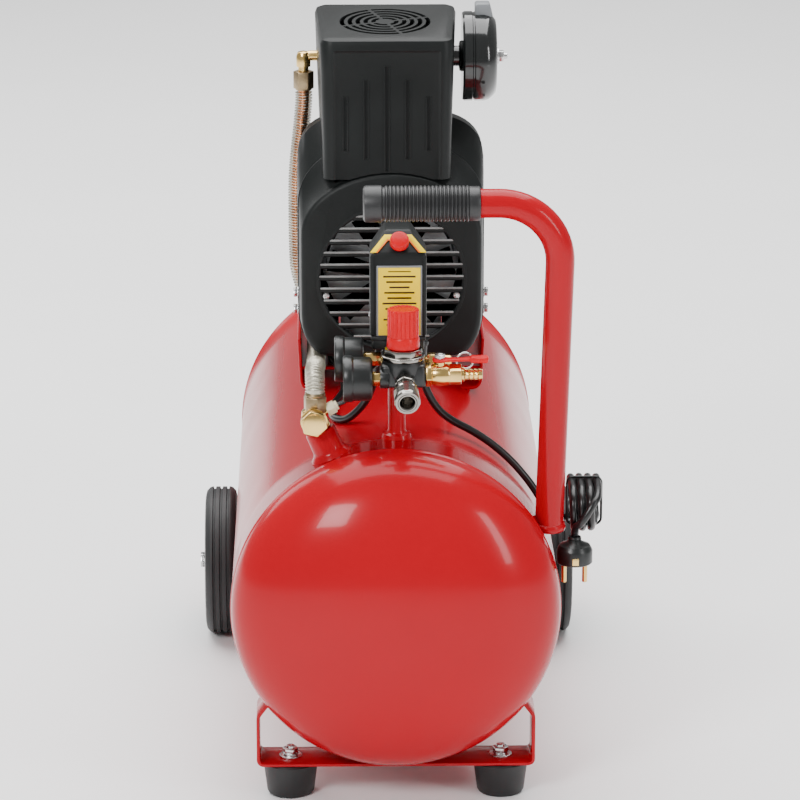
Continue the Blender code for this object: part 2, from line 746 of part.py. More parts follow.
def gauges(manifold_base):
    """Two pressure gauges that face -X, each with its hexagon stem in the manifold's left side."""
    left = MANIFOLD_X[0] - GAP
    for name, offset, rise, stem in (("gauge_front", 0.012 + 0.003, 0.008, 0.0030), ("gauge_rear", 0.060, 0.014, 0.0105)):
        at = (left, FRONT + offset, manifold_base + rise)
        back = stem
        face = stem + GAUGE_DEPTH
        profile = [
            (0, face - 0.001),
            (GAUGE_RADIUS - 0.002, face - 0.001),
            (GAUGE_RADIUS - 0.002, face),
            (GAUGE_RADIUS, face),
            (GAUGE_RADIUS, face - 0.008),
            (GAUGE_RADIUS - 0.0015, face - 0.009),
            (GAUGE_RADIUS - 0.0015, back + 0.002),
            (GAUGE_RADIUS - 0.0035, back),
            (0.0055, back),
            (0.0055, 0),
            (0, 0),
        ]
        turned(name, profile, BLACK_PLASTIC, at, (-1, 0, 0), 20)


def ball_valve(manifold_base):
    """Outlet valve with its hose barb, and the lever whose stem turns in the body."""
    y, z, x = FRONT + VALVE_FROM_SEAM, manifold_base + 0.010, MANIFOLD_X[1] + GAP
    body = rod("ball_valve", (x, y, z), (x + 0.022, y, z), 0.0098, BRASS, 16)
    pivot_x = x + 0.0125
    tip = x + VALVE_LENGTH
    join(
        body,
        rod("valve_inlet_hex", (x, y, z), (x + 0.005, y, z), 0.0112, BRASS, 6),
        rod("valve_bonnet", (pivot_x, y, z), (pivot_x, y, z + 0.0125), 0.0055, BRASS, 12),
        rod("valve_outlet_hex", (x + 0.021, y, z), (x + 0.033, y, z), 0.0100, BRASS, 6),
        turned(
            "hose_barb",
            [
                (0, tip),
                (0.0042, tip),
                (0.0055, tip - 0.005),
                (0.0044, tip - 0.005),
                (0.0055, tip - 0.010),
                (0.0044, tip - 0.010),
                (0.0055, tip - 0.015),
                (0.0044, tip - 0.015),
                (0.0044, x + 0.031),
                (0, x + 0.031),
            ],
            BRASS,
            (0, y, z),
            (1, 0, 0),
            12,
        ),
    )
    stem_low = z + 0.004
    cut(body, rod("stem_bore", (pivot_x, y, stem_low), (pivot_x, y, z + 0.02), 0.0030 + GAP, STEEL, 12))
    cut(body, rod("barb_bore", (x + 0.030, y, z), (tip + 0.01, y, z), 0.0026, STEEL, 10))
    plate_low = z + 0.0125 + GAP
    lever = box("valve_lever", (pivot_x - 0.006, y - 0.006, plate_low), (pivot_x + LEVER_LENGTH, y + 0.006, plate_low + 0.0025), RED_PLASTIC)
    join(
        lever,
        rod("valve_stem", (pivot_x, y, stem_low + GAP), (pivot_x, y, plate_low + 0.001), 0.0030, STEEL, 12),
        rod("valve_nut", (pivot_x, y, plate_low + 0.001), (pivot_x, y, plate_low + 0.007), 0.0055, STEEL, 6),
    )


def safety_valve(manifold_base):
    """Spring safety valve behind the ball valve, and the pull ring on its pin."""
    y, z, x = FRONT + 0.052, manifold_base + 0.014, MANIFOLD_X[1] + GAP
    end = x + 0.024
    valve = rod("safety_valve", (x, y, z), (end, y, z), 0.0055, BRASS, 12)
    join(valve, rod("safety_valve_hex", (x + 0.002, y, z), (x + 0.010, y, z), 0.0080, BRASS, 6))
    cut(valve, rod("safety_bore", (x + 0.012, y, z), (end + 0.01, y, z), 0.0018, STEEL, 10))
    pin = rod("safety_ring", (x + 0.0125, y, z), (end + 0.005, y, z), 0.0014, STEEL, 10)
    ring_radius = 0.0075
    ring_points = [(end + 0.0045 + ring_radius + a, y, z + b) for a, b in circle(ring_radius, 16)]
    hoop = bpy.data.curves.new("safety_hoop", "CURVE")
    hoop.dimensions = "3D"
    hoop.bevel_depth = 0.0009
    hoop.bevel_resolution = 1
    loop = hoop.splines.new("POLY")
    loop.points.add(len(ring_points) - 1)
    for point, co in zip(loop.points, ring_points):
        point.co = (*co, 1)
    loop.use_cyclic_u = True
    join(pin, as_mesh(place("safety_hoop", hoop, STEEL)))


def coupler(manifold_base):
    """Quick coupler on the regulator's outlet: fixed body, and the sleeve that slides on it."""
    start = Vector((REGULATOR_X + 0.001, FRONT + MANIFOLD_FROM_SEAM[0] - 0.001, manifold_base + 0.008))
    away = COUPLER_DIRECTION
    socket = rod("coupler_seat", start - away * 0.004, start + away * 0.02, 0.0096, STEEL, 16)
    cut(bpy.data.objects["manifold"], socket)
    inner, bore = 0.0085, COUPLER_BORE
    length = COUPLER_LENGTH
    body = turned(
        "coupler_body",
        [
            (0, 0.0142),
            (bore, 0.0142),
            (bore, length),
            (inner, length),
            (inner, 0.0135),
            (0.0090, 0.0135),
            (0.0090, -0.0030),
            (0, -0.0030),
        ],
        STEEL,
        start,
        away,
        16,
    )
    profile_down = body.data
    sleeve_bore = inner + GAP
    turned(
        "coupler_sleeve",
        [
            (COUPLER_SLEEVE_RADIUS - 0.001, length - 0.0005),
            (COUPLER_SLEEVE_RADIUS, length - 0.002),
            (COUPLER_SLEEVE_RADIUS, length - 0.006),
            (COUPLER_SLEEVE_RADIUS - 0.001, length - 0.007),
            (COUPLER_SLEEVE_RADIUS - 0.001, length - 0.018),
            (COUPLER_SLEEVE_RADIUS, length - 0.019),
            (COUPLER_SLEEVE_RADIUS, length - 0.024),
            (sleeve_bore, length - 0.024),
            (sleeve_bore, length - 0.0005),
        ],
        STEEL,
        start,
        away,
        20,
        ring=True,
    )
    return profile_down


# ---------------------------------------------------------------- pump
def arch(y, grow, half_width, spring, crown, power=2.0, lower=0.040):
    """The pump cover's section: flat bottom with wide corners, straight sides and an arched top."""
    bottom = CRANK_AXIS - 0.077 - grow
    half_width += grow
    spring_z, crown_z = CRANK_AXIS + spring, CRANK_AXIS + crown + grow
    points = []
    corner_steps, arch_steps = 3, 12
    for step in range(corner_steps + 1):
        angle = math.pi / 2 * step / corner_steps
        points.append((half_width - lower * 0.62 * (1 - math.sin(angle)), y, bottom + lower * (1 - math.cos(angle))))
    for step in range(arch_steps + 1):
        angle = math.pi * step / arch_steps
        sideways = math.copysign(abs(math.cos(angle)) ** (2 / power), math.cos(angle))
        upward = math.sin(angle) ** (2 / power)
        points.append((half_width * sideways, y, spring_z + (crown_z - spring_z) * upward))
    for step in range(corner_steps, -1, -1):
        angle = math.pi / 2 * step / corner_steps
        points.append((lower * 0.62 * (1 - math.sin(angle)) - half_width, y, bottom + lower * (1 - math.cos(angle))))
    return points


COVER_DEPTH = 0.032
SHROUD_DEPTH = 0.051
SECTION_FRONT = {"half_width": COVER_HALF_WIDTH, "spring": 0.042, "crown": 0.102}
SECTION_SEAM = {"half_width": COVER_HALF_WIDTH + 0.0023, "spring": 0.064, "crown": 0.128, "power": 2.2}
SECTION_BACK = {"half_width": COVER_HALF_WIDTH + 0.0035, "spring": 0.090, "crown": 0.148, "power": 3.2}


def duct_well():
    """The opening in the covers under the duct."""
    inside = DUCT_HALF_WIDTH - 0.012
    low = (DUCT_OFFSET_X - inside, PUMP + 0.0055, CRANK_AXIS + 0.072)
    high = (DUCT_OFFSET_X + inside, PUMP + 0.110, CRANK_AXIS + 0.200)
    return box("duct_well", low, high, BLACK_PLASTIC)


def front_cover():
    """The louvred front cover: a hollow arch whose face holds a round window of level slots."""
    sections = [
        arch(PUMP, -0.004, **SECTION_FRONT),
        arch(PUMP + 0.004, 0, **SECTION_FRONT),
        arch(PUMP + COVER_DEPTH, 0, **SECTION_SEAM),
        arch(PUMP + COVER_DEPTH, -COVER_WALL, **SECTION_SEAM),
        arch(PUMP + COVER_WALL + 0.002, -COVER_WALL, **SECTION_FRONT),
        arch(PUMP + COVER_WALL, -COVER_WALL - 0.002, **SECTION_FRONT),
    ]
    cover = loft("front_cover", sections, BLACK_PLASTIC)
    cut(cover, WELL)
    rows = int(WINDOW_RADIUS / SLAT_PITCH)
    slots = None
    for row in range(-rows, rows + 1):
        height = row * SLAT_PITCH
        reach = math.sqrt(WINDOW_RADIUS**2 - (abs(height) + SLAT_GAP / 2) ** 2) if abs(height) + SLAT_GAP / 2 < WINDOW_RADIUS else 0
        if reach < 0.015:
            continue
        z = CRANK_AXIS + height
        slot = box(f"slot_{row + rows}", (-reach, PUMP - 0.01, z - SLAT_GAP / 2), (reach, PUMP + 0.01, z + SLAT_GAP / 2), BLACK_PLASTIC)
        cut(cover, slot)
    return slots


def rear_shroud():
    """The shell behind the front cover, which widens to a square-shouldered back wall."""
    start = PUMP + COVER_DEPTH + GAP
    middle, back = start + SHROUD_DEPTH * 0.55, start + SHROUD_DEPTH
    sections = [
        arch(back - COVER_WALL, -COVER_WALL, **SECTION_BACK),
        arch(middle, -COVER_WALL, **SECTION_BACK),
        arch(start, -COVER_WALL, **SECTION_SEAM),
        arch(start, 0, **SECTION_SEAM),
        arch(middle, 0, **SECTION_BACK),
        arch(back, 0, **SECTION_BACK),
    ]
    shroud = loft("rear_shroud", sections, BLACK_PLASTIC)
    hole_low, hole_high = (0, back - 0.01, CRANK_AXIS), (0, back + 0.01, CRANK_AXIS)
    half_slot, half_foot = 0.040, CASE_FOOT_HALF + 0.002
    cut(
        shroud,
        rod("shroud_hole", hole_low, hole_high, CRANKCASE_RADIUS + 0.004, BLACK_PLASTIC, 24),
        box("cylinder_slot", (-half_slot, back - 0.01, CRANK_AXIS), (half_slot, back + 0.01, CRANK_AXIS + 0.08), BLACK_PLASTIC),
        box("foot_slot", (-half_foot, start + 0.004, CRANK_AXIS - 0.09), (half_foot, back + 0.01, CRANK_AXIS - 0.04), BLACK_PLASTIC),
        WELL,
    )


def head_duct():
    """The hood over the cylinder head, with a round grille in its top and a port on each side."""
    slope = 0.011
    depth_low, depth_high = 0.117, 0.127

    def ring(z_front, z_back, half_front, half_back, depth, inset):
        radius = 0.012
        corners = [
            (-half_front + inset, PUMP + inset),
            (half_front - inset, PUMP + inset),
            (half_back - inset, PUMP + depth - inset),
            (inset - half_back, PUMP + depth - inset),
        ]
        middle = [((corners[0][0] + corners[1][0]) / 2, corners[0][1])]
        path = rounded([*middle, *corners[1:], corners[0], *middle], radius, 3)[:-1]
        return [
            (DUCT_OFFSET_X + x, y, z_front + (z_back - z_front) * (y - PUMP) / depth)
            for x, y in path
        ]

    half = DUCT_HALF_WIDTH
    low = CRANK_AXIS + 0.096
    top = CRANK_AXIS + DUCT_TOP_RISE
    wall = COVER_WALL
    sections = [
        ring(top - wall, top - wall + slope, half, half + 0.006, depth_high, wall + 0.002),
        ring(top - wall - 0.002, top - wall - 0.002 + slope, half, half + 0.006, depth_high, wall),
        ring(low, low, half - 0.002, half + 0.002, depth_low, wall),
        ring(low, low, half - 0.002, half + 0.002, depth_low, 0),
        ring(top - 0.004, top - 0.004 + slope, half, half + 0.006, depth_high, 0),
        ring(top, top + slope, half, half + 0.006, depth_high, 0.004),
    ]
    duct = loft("head_duct", sections, BLACK_PLASTIC)
    start = PUMP + COVER_DEPTH
    room = 0.0005
    roof = loft(
        "roof_shape",
        [
            arch(PUMP - 0.001, room, **SECTION_FRONT),
            arch(PUMP + 0.004, room, **SECTION_FRONT),
            arch(start + GAP / 2, room, **SECTION_SEAM),
            arch(start + GAP + SHROUD_DEPTH * 0.55, room, **SECTION_BACK),
            arch(start + 2 * GAP + SHROUD_DEPTH, room, **SECTION_BACK),
        ],
        BLACK_PLASTIC,
    )
    cut(duct, roof)
    grille_middle = (DUCT_OFFSET_X - 0.001, PUMP + 0.062)
    for index, radius in enumerate((0.018, 0.031, 0.044)):
        groove = turned(
            f"grille_slot_{index}",
            [(radius, 0.03), (radius, -0.03), (radius - 0.007, -0.03), (radius - 0.007, 0.03)],
            BLACK_PLASTIC,
            (*grille_middle, top),
            steps=16,
            ring=True,
        )
        for turn in (45, 135):
            spoke = box(f"grille_spoke_{index}_{turn}", (-0.06, -0.002, -0.04), (0.06, 0.002, 0.04), BLACK_PLASTIC)
            spoke.location = (*grille_middle, top)
            spoke.rotation_euler = (0, 0, math.radians(turn))
            cut(groove, spoke)
        cut(duct, groove)
    elbow_y, elbow_z = PUMP + ELBOW_BACK, CRANK_AXIS + ELBOW_RISE
    neck_y, neck_z = PUMP + HEAD_BACK, CRANK_AXIS + FILTER_RISE
    cut(duct, rod("elbow_hole", (-0.09, elbow_y, elbow_z), (-0.03, elbow_y, elbow_z), 0.0085, STEEL, 16))
    cut(duct, rod("neck_hole", (0.03, neck_y, neck_z), (0.09, neck_y, neck_z), 0.0115, STEEL, 16))


CRANKCASE_RADIUS = 0.062
CASE_FOOT_HALF = 0.048
SPIGOT_RADIUS = BORE_RADIUS + 0.004
HEAD_BACK = 0.065  # cylinder axis behind the cover's face
ELBOW_BACK = 0.100
ELBOW_RISE = 0.193
FILTER_RISE = 0.201
CYLINDER_BASE = 0.064  # over the crank axis
CYLINDER_TOP = 0.164
HEAD_TOP = 0.214
ROD_HALF = 0.006
WEB_GAP = 0.005
WEB_THICK = 0.009
SHAFT_RADIUS = 0.009
SHAFT_CLEARANCE = 0.0006
SADDLE_PLATE_Z = TOP + 0.0012
WELL = duct_well()


def crankcase():
    """Cast case with a front bearing wall, a spigot for the cylinder and a foot block."""
    front, back = PUMP + 0.034, PUMP + 0.093
    y = PUMP + HEAD_BACK
    case = rod("crankcase", (0, front, CRANK_AXIS), (0, back, CRANK_AXIS), CRANKCASE_RADIUS, CAST_ALUMINIUM, 32)
    foot_low = SADDLE_PLATE_Z + SADDLE_SHEET + GAP
    join(
        case,
        rod("cylinder_spigot", (0, y, CRANK_AXIS), (0, y, CRANK_AXIS + CYLINDER_BASE - GAP), SPIGOT_RADIUS, CAST_ALUMINIUM, 20),
        box("case_foot", (-CASE_FOOT_HALF, front + 0.004, foot_low), (CASE_FOOT_HALF, back - 0.006, CRANK_AXIS - 0.045), CAST_ALUMINIUM),
    )
    cut(
        case,
        rod("case_hollow", (0, front + 0.006, CRANK_AXIS), (0, back + 0.01, CRANK_AXIS), CRANKCASE_RADIUS - 0.006, STEEL, 32),
        rod("case_bearing", (0, front - 0.01, CRANK_AXIS), (0, front + 0.02, CRANK_AXIS), SHAFT_RADIUS + SHAFT_CLEARANCE, STEEL, 16),
        rod("case_throat", (0, y, CRANK_AXIS + 0.02), (0, y, CRANK_AXIS + 0.08), BORE_RADIUS + 0.001, STEEL, 20),
    )


def cylinder():
    """Finned cylinder, bored through."""
    height = CYLINDER_TOP - CYLINDER_BASE
    wall, fin, fin_thick = BORE_RADIUS + 0.007, BORE_RADIUS + 0.0185, 0.003
    profile = [(wall, height)]
    for share in (0.8, 0.5, 0.2):
        middle = height * share
        profile += [(wall, middle + fin_thick / 2), (fin, middle + fin_thick / 2), (fin, middle - fin_thick / 2), (wall, middle - fin_thick / 2)]
    collar = 0.015
    profile += [(wall, collar), (SPIGOT_RADIUS, collar), (SPIGOT_RADIUS, 0), (BORE_RADIUS, 0), (BORE_RADIUS, height)]
    turned("cylinder", profile, CAST_ALUMINIUM, (0, PUMP + HEAD_BACK, CRANK_AXIS + CYLINDER_BASE), steps=20, ring=True)


def cylinder_head():
    """Head with an inlet and an outlet chamber, each with a port in its side."""
    low, high = CRANK_AXIS + CYLINDER_TOP + GAP, CRANK_AXIS + HEAD_TOP
    middle = PUMP + HEAD_BACK
    half = 0.048
    head = box("cylinder_head", (-half, middle - half, low), (half, middle + half, high), CAST_ALUMINIUM, 0.005)
    neck_z, elbow_z = CRANK_AXIS + FILTER_RISE, CRANK_AXIS + ELBOW_RISE
    elbow_y = PUMP + ELBOW_BACK
    cut(
        head,
        box("outlet_chamber", (-0.040, middle - 0.020, low - 0.01), (-0.004, middle + 0.042, low + 0.036), STEEL),
        box("inlet_chamber", (0.004, middle - 0.020, low - 0.01), (0.040, middle + 0.020, low + 0.042), STEEL),
        rod("outlet_port", (-0.06, elbow_y, elbow_z), (-0.03, elbow_y, elbow_z), 0.0045, STEEL, 12),
        rod("inlet_port", (0.03, middle, neck_z), (0.06, middle, neck_z), 0.0055, STEEL, 12),
    )


def crank_train():
    """Crank in two halves with stub pins, connecting rod, and piston with its cross pin."""
    middle = PUMP + HEAD_BACK
    crank_pin = CRANK_AXIS - CRANK_THROW
    wrist = crank_pin + ROD_LENGTH
    pin_radius, web_radius = 0.008, 0.034
    pin_face = ROD_HALF + 0.0006
    web_face = ROD_HALF + WEB_GAP
    front_web = middle - web_face
    front_crank = rod("crank_front", (0, front_web - WEB_THICK, CRANK_AXIS), (0, front_web, CRANK_AXIS), web_radius, STEEL, 20)
    join(
        front_crank,
        rod("front_pin", (0, front_web - 0.004, crank_pin), (0, middle - pin_face, crank_pin), pin_radius, STEEL, 12),
        rod("front_journal", (0, PUMP + 0.007, CRANK_AXIS), (0, front_web - 0.004, CRANK_AXIS), SHAFT_RADIUS, STEEL, 16),
    )
    rear_web = middle + web_face
    shaft = rod("crankshaft", (0, rear_web, CRANK_AXIS), (0, rear_web + WEB_THICK, CRANK_AXIS), web_radius, STEEL, 20)
    join(
        shaft,
        rod("rear_pin", (0, middle + pin_face, crank_pin), (0, rear_web + 0.004, crank_pin), pin_radius, STEEL, 12),
        rod("motor_shaft", (0, rear_web + 0.004, CRANK_AXIS), (0, PUMP + 0.243, CRANK_AXIS), SHAFT_RADIUS, STEEL, 16),
    )
    back, front = (0, middle + ROD_HALF, 0), (0, middle - ROD_HALF, 0)

    def level(radius, z, name):
        return rod(name, (0, front[1], z), (0, back[1], z), radius, CAST_ALUMINIUM, 16)

    link = box("connecting_rod", (-0.005, front[1] + 0.0015, crank_pin), (0.005, back[1] - 0.0015, wrist), CAST_ALUMINIUM)
    join(link, level(0.016, crank_pin, "big_end"), level(0.0095, wrist, "small_end"))
    cut(
        link,
        rod("big_eye", (0, front[1] - 0.01, crank_pin), (0, back[1] + 0.01, crank_pin), pin_radius + SHAFT_CLEARANCE, STEEL, 16),
        rod("small_eye", (0, front[1] - 0.01, wrist), (0, back[1] + 0.01, wrist), 0.005 + SHAFT_CLEARANCE, STEEL, 16),
    )
    crown, skirt = wrist + 0.030, wrist - 0.008
    outer = BORE_RADIUS - 0.0003
    piston = turned(
        "piston",
        [(0, crown), (outer, crown), (outer, skirt), (outer - 0.004, skirt), (outer - 0.004, crown - 0.008), (0, crown - 0.008)],
        CAST_ALUMINIUM,
        (0, middle, 0),
        steps=20,
    )
    reach = outer - 0.002
    join(piston, rod("wrist_pin", (0, middle - reach, wrist), (0, middle + reach, wrist), 0.005, STEEL, 12))


def motor():
    """Finned motor housing with its foot, stator and rotor inside, and the rear fan cover."""
    start = PUMP + 0.093 + GAP
    end = start + 0.108
    flat = math.radians(33)
    loop = []
    for i in range(MOTOR_FINS * 4):
        angle = 2 * math.pi * i / (MOTOR_FINS * 4)
        reach = MOTOR_RADIUS + (MOTOR_FIN if i % 4 < 2 and abs(angle - math.pi * 1.5) > flat else 0)
        loop.append((reach * math.cos(angle), reach * math.sin(angle)))
    bore = MOTOR_RADIUS - 0.005
    housing = as_mesh(outline("motor_housing", [loop, circle(bore, 32)], end - start, CAST_ALUMINIUM, (0, (start + end) / 2, CRANK_AXIS), TOWARDS_FRONT))
    flange = turned(
        "motor_flange",
        [(bore + 0.003, 0), (bore + 0.003, -0.005), (0.011, -0.005), (0.011, 0)],
        CAST_ALUMINIUM,
        (0, start, CRANK_AXIS),
        TOWARDS_FRONT,
        32,
        ring=True,
    )
    foot_low = SADDLE_PLATE_Z + SADDLE_SHEET + GAP
    foot_block = box("motor_foot", (-0.040, start + 0.02, foot_low), (0.040, end - 0.01, CRANK_AXIS - bore - 0.002), CAST_ALUMINIUM)
    join(housing, flange, foot_block)
    core_start, core_end = start + 0.019, start + 0.089
    tip = end - 0.006
    turned(
        "stator",
        [
            (0.050, -(start + 0.009)),
            (0.060, -(start + 0.009)),
            (0.061, -core_start),
            (bore - 0.0008, -core_start),
            (bore - 0.0008, -core_end),
            (0.061, -core_end),
            (0.060, -tip),
            (0.050, -tip),
            (0.039, -core_end),
            (0.039, -core_start),
        ],
        COPPER,
        (0, 0, CRANK_AXIS),
        TOWARDS_FRONT,
        24,
        ring=True,
    )
    turned(
        "rotor",
        [(0.038, -core_start), (0.038, -core_end), (SHAFT_RADIUS + GAP, -core_end), (SHAFT_RADIUS + GAP, -core_start)],
        STEEL,
        (0, 0, CRANK_AXIS),
        TOWARDS_FRONT,
        20,
        ring=True,
    )
    cover_start, cover_end = end + GAP, PUMP + 0.255
    radius, wall = MOTOR_RADIUS + MOTOR_FIN + 0.001, COVER_WALL
    cover = turned(
        "motor_cover",
        [
            (0, wall - cover_end),
            (radius - 0.011, wall - cover_end),
            (radius - wall, 0.011 - cover_end),
            (radius - wall, -cover_start),
            (radius, -cover_start),
            (radius, 0.010 - cover_end),
            (radius - 0.010, -cover_end),
            (0, -cover_end),
        ],
        BLACK_PLASTIC,
        (0, 0, CRANK_AXIS),
        TOWARDS_FRONT,
        32,
    )
    for row in range(-3, 4):
        height = row * 0.015
        reach = math.sqrt(0.058**2 - height**2)
        z = CRANK_AXIS + height
        cut(cover, box(f"vent_{row + 3}", (-reach, cover_end - 0.01, z - 0.004), (reach, cover_end + 0.01, z + 0.004), STEEL))


def fan(name, middle, radius, blades):
    """An axial fan pressed on the shaft, its flat blades pitched across the air's way."""
    half_hub, half_chord, half_sheet = 0.007, 0.014, 0.001
    hub = turned(
        name,
        [
            (0.016, half_hub - middle),
            (0.016, -half_hub - middle),
            (SHAFT_RADIUS + GAP, -half_hub - middle),
            (SHAFT_RADIUS + GAP, half_hub - middle),
        ],
        BLACK_PLASTIC,
        (0, 0, CRANK_AXIS),
        TOWARDS_FRONT,
        16,
        ring=True,
    )
    pitch = math.radians(30)
    for index in range(blades):
        angle = 2 * math.pi * (index + 0.25) / blades
        outward = Vector((math.cos(angle), 0, math.sin(angle)))
        sideways = Vector((-math.sin(angle), 0, math.cos(angle)))
        chord = sideways * math.cos(pitch) + Vector((0, math.sin(pitch), 0))
        across = chord.cross(outward)
        sections = []
        for reach, share in ((0.013, 0.4), (radius, 1.0)):
            centre = outward * reach + Vector((0, middle, CRANK_AXIS))
            corners = ((1, 1), (-1, 1), (-1, -1), (1, -1))
            sections.append([centre + chord * a * half_chord * share + across * b * half_sheet for a, b in corners])
        join(hub, loft(f"{name}_blade_{index}", sections, BLACK_PLASTIC))


def saddle():
    """Two bent side sheets on the tank, joined by a cross plate that the pump stands on."""
    start, end = (FRONT + value for value in SADDLE_FROM_SEAM)
    low = TANK_AXIS + math.sqrt(TANK_RADIUS**2 - SADDLE_FOOT_X**2) + SADDLE_SHEET / 2
    high = TOP + SADDLE_HEIGHT - 0.018
    sheets = []
    for side in (-1, 1):
        path = rounded([(0.058, low), (SADDLE_WALL_X - 0.002, low), (SADDLE_WALL_X, high)], 0.009, 4)
        path = [Vector((side * x, z)) for x, z in path]
        sheets.append(strip(f"pump_saddle_{side}", path, start, end, SADDLE_SHEET, RED_PAINT))
    saddle_piece, right = sheets
    saddle_piece.name = "pump_saddle"
    reach = SADDLE_WALL_X
    plate = box("saddle_plate", (-reach, start + 0.004, SADDLE_PLATE_Z), (reach, end, SADDLE_PLATE_Z + SADDLE_SHEET), RED_PAINT)
    join(saddle_piece, plate, right)
    cut(saddle_piece, TANK_SHAPE)


def air_filter():
    """Intake filter: hollow can with its neck in the head, and the bolt through it."""
    y, z = PUMP + HEAD_BACK, CRANK_AXIS + FILTER_RISE
    inner_x, outer_x = FILTER_X
    neck_start = 0.048 + GAP
    wall = 0.0025
    profile = [
        (0.0075, -outer_x + 0.001),
        (0.032, -outer_x),
        (0.038, -outer_x + 0.002),
        (FILTER_RADIUS, -outer_x + 0.010),
        (FILTER_RADIUS, -inner_x - 0.001),
        (FILTER_RADIUS - 0.001, -inner_x),
        (0.0095, -inner_x),
        (0.0095, -neck_start),
        (0.0060, -neck_start),
        (0.0060, -inner_x - wall),
        (FILTER_RADIUS - wall, -inner_x - wall),
        (FILTER_RADIUS - wall, -outer_x + 0.011),
        (0.036, -outer_x + 0.004),
        (0.0075, -outer_x + 0.004),
    ]
    profile = [(radius, -height) for radius, height in profile]
    can = turned("air_filter", profile, BLACK_PLASTIC, (0, y, z), (1, 0, 0), 28, ring=True)
    tab = box("filter_tab", (0.084, y - 0.010, z + FILTER_RADIUS - 0.003), (0.100, y + 0.010, z + FILTER_RADIUS + 0.009), BLACK_PLASTIC, 0.001)
    join(can, tab)
    bolt_profile = [
        (0, 0.1125),
        (0.0028, 0.1125),
        (0.0028, 0.1090),
        (0.0050, 0.1085),
        (0.0050, outer_x + GAP),
        (0.0068, outer_x - 0.0005),
        (0.0068, outer_x - 0.0032),
        (0.0030, outer_x - 0.0040),
        (0.0030, neck_start + 0.002),
        (0, neck_start + 0.002),
    ]
    turned("filter_bolt", bolt_profile, STEEL, (0, y, z), (1, 0, 0), 12)


def discharge(pipe_end):
    """Brass elbow on the head, and the finned pipe from it down and forward to the check valve."""
    y, z = PUMP + ELBOW_BACK, CRANK_AXIS + ELBOW_RISE
    drop_x = -0.0825
    legs = [(-0.048 - GAP, y, z), (drop_x, y, z), (drop_x, y, z - 0.020)]
    elbow = as_mesh(tube("discharge_elbow", rounded(legs, 0.006, 4), 0.0050, BRASS, 2))
    nut_low = z - 0.032
    join(
        elbow,
        rod("elbow_flange", (-0.049, y, z), (-0.056, y, z), 0.0078, BRASS, 6),
        rod("elbow_nut", (drop_x, y, z - 0.016), (drop_x, y, nut_low), 0.0100, BRASS, 6),
    )
    low = TOP + 0.0137
    side = -COVER_HALF_WIDTH
    forward = Vector(pipe_end) + Vector((0, 0, GAP))
    route = [
        forward + Vector((0, 0, 0.003)),
        forward + Vector((0, 0.0005, 0.006)),
        forward + Vector((0, 0.008, 0.0145)),
        forward + Vector((0, 0.026, 0.0175)),
        (-0.072, FRONT + 0.105, TOP + 0.049),
        (-0.072, FRONT + 0.160, TOP + 0.035),
        (side + 0.0132, FRONT + 0.203, TOP + 0.0190),
        (side + 0.0137, FRONT + 0.230, low),
        (side + 0.0139, FRONT + 0.306, low),
        (side + 0.0133, FRONT + 0.328, low + 0.005),
        (side + 0.0112, FRONT + 0.341, low + 0.020),
        (side + 0.0052, FRONT + 0.342, low + 0.040),
        (side - 0.0013, FRONT + 0.341, low + 0.062),
        (side - 0.0038, FRONT + 0.339, CRANK_AXIS),
        (side - 0.0038, FRONT + 0.337, CRANK_AXIS + 0.075),
        (-0.0845, y, nut_low - 0.035),
        (drop_x, y, nut_low - 0.012),
        (drop_x, y, nut_low - GAP),
    ]
    path = [forward, *thinned(smooth_route(route, 0.003))]
    tube("discharge_pipe", path, PIPE_RADIUS, COPPER, 2)


# ---------------------------------------------------------------- cables
def motor_cable():
    """Cable from the switch down to the tank and back under the pump's cover to the motor."""
    start = Vector((-0.014, FRONT + 0.085, TOP + POST_HEIGHT + MANIFOLD_HEIGHT - 0.0003))
    lie = CABLE_RADIUS + 0.0012
    route = [
        start,
        start - Vector((0, 0, 0.012)),
        (-0.017, FRONT + 0.090, TOP + 0.045),
        (-0.026, FRONT + 0.100, TOP + 0.018),
        on_tank(math.radians(-16), lie, FRONT + 0.108),
        on_tank(math.radians(-21), lie, FRONT + 0.128),
        on_tank(math.radians(-21), lie, FRONT + 0.165),
        on_tank(math.radians(-17), lie, FRONT + 0.210),
        (-0.050, FRONT + 0.245, TOP + 0.008),
        (-0.0565, FRONT + 0.275, TOP + 0.009),
        (-0.058, FRONT + 0.330, TOP + 0.010),
        (-0.055, FRONT + 0.358, TOP + 0.022),
        (-0.0525, FRONT + 0.366, TOP + 0.0345),
    ]
    tube("motor_cable", smooth_route(route, 0.013), CABLE_RADIUS, BLACK_RUBBER, 2)


def power_cord():
    """Mains cord from the switch over the tank's shoulder to a tied hank, and the plug below it."""
    exit_point = (0.0245, FRONT + 0.080, TOP + POST_HEIGHT + MANIFOLD_HEIGHT - 0.0003)
    route = [
        exit_point,
        (0.0245, -0.2255, 0.404),
        (0.0255, -0.2250, 0.385),
        (0.0310, -0.2250, 0.366),
        (0.0410, -0.2230, 0.3495),
        (0.0540, -0.2190, 0.3378),
        (0.0720, -0.2170, 0.3272),
        (0.0900, -0.2180, 0.3150),
        (0.1080, -0.2200, 0.2990),
        (0.1240, -0.2215, 0.2800),
        (0.1365, -0.2260, 0.2620),
        (0.1470, -0.2300, 0.2510),
        (0.1555, -0.2300, 0.2475),
    ]
    tube("power_cord", smooth_route(route, 0.012), CABLE_RADIUS, BLACK_RUBBER, 2)


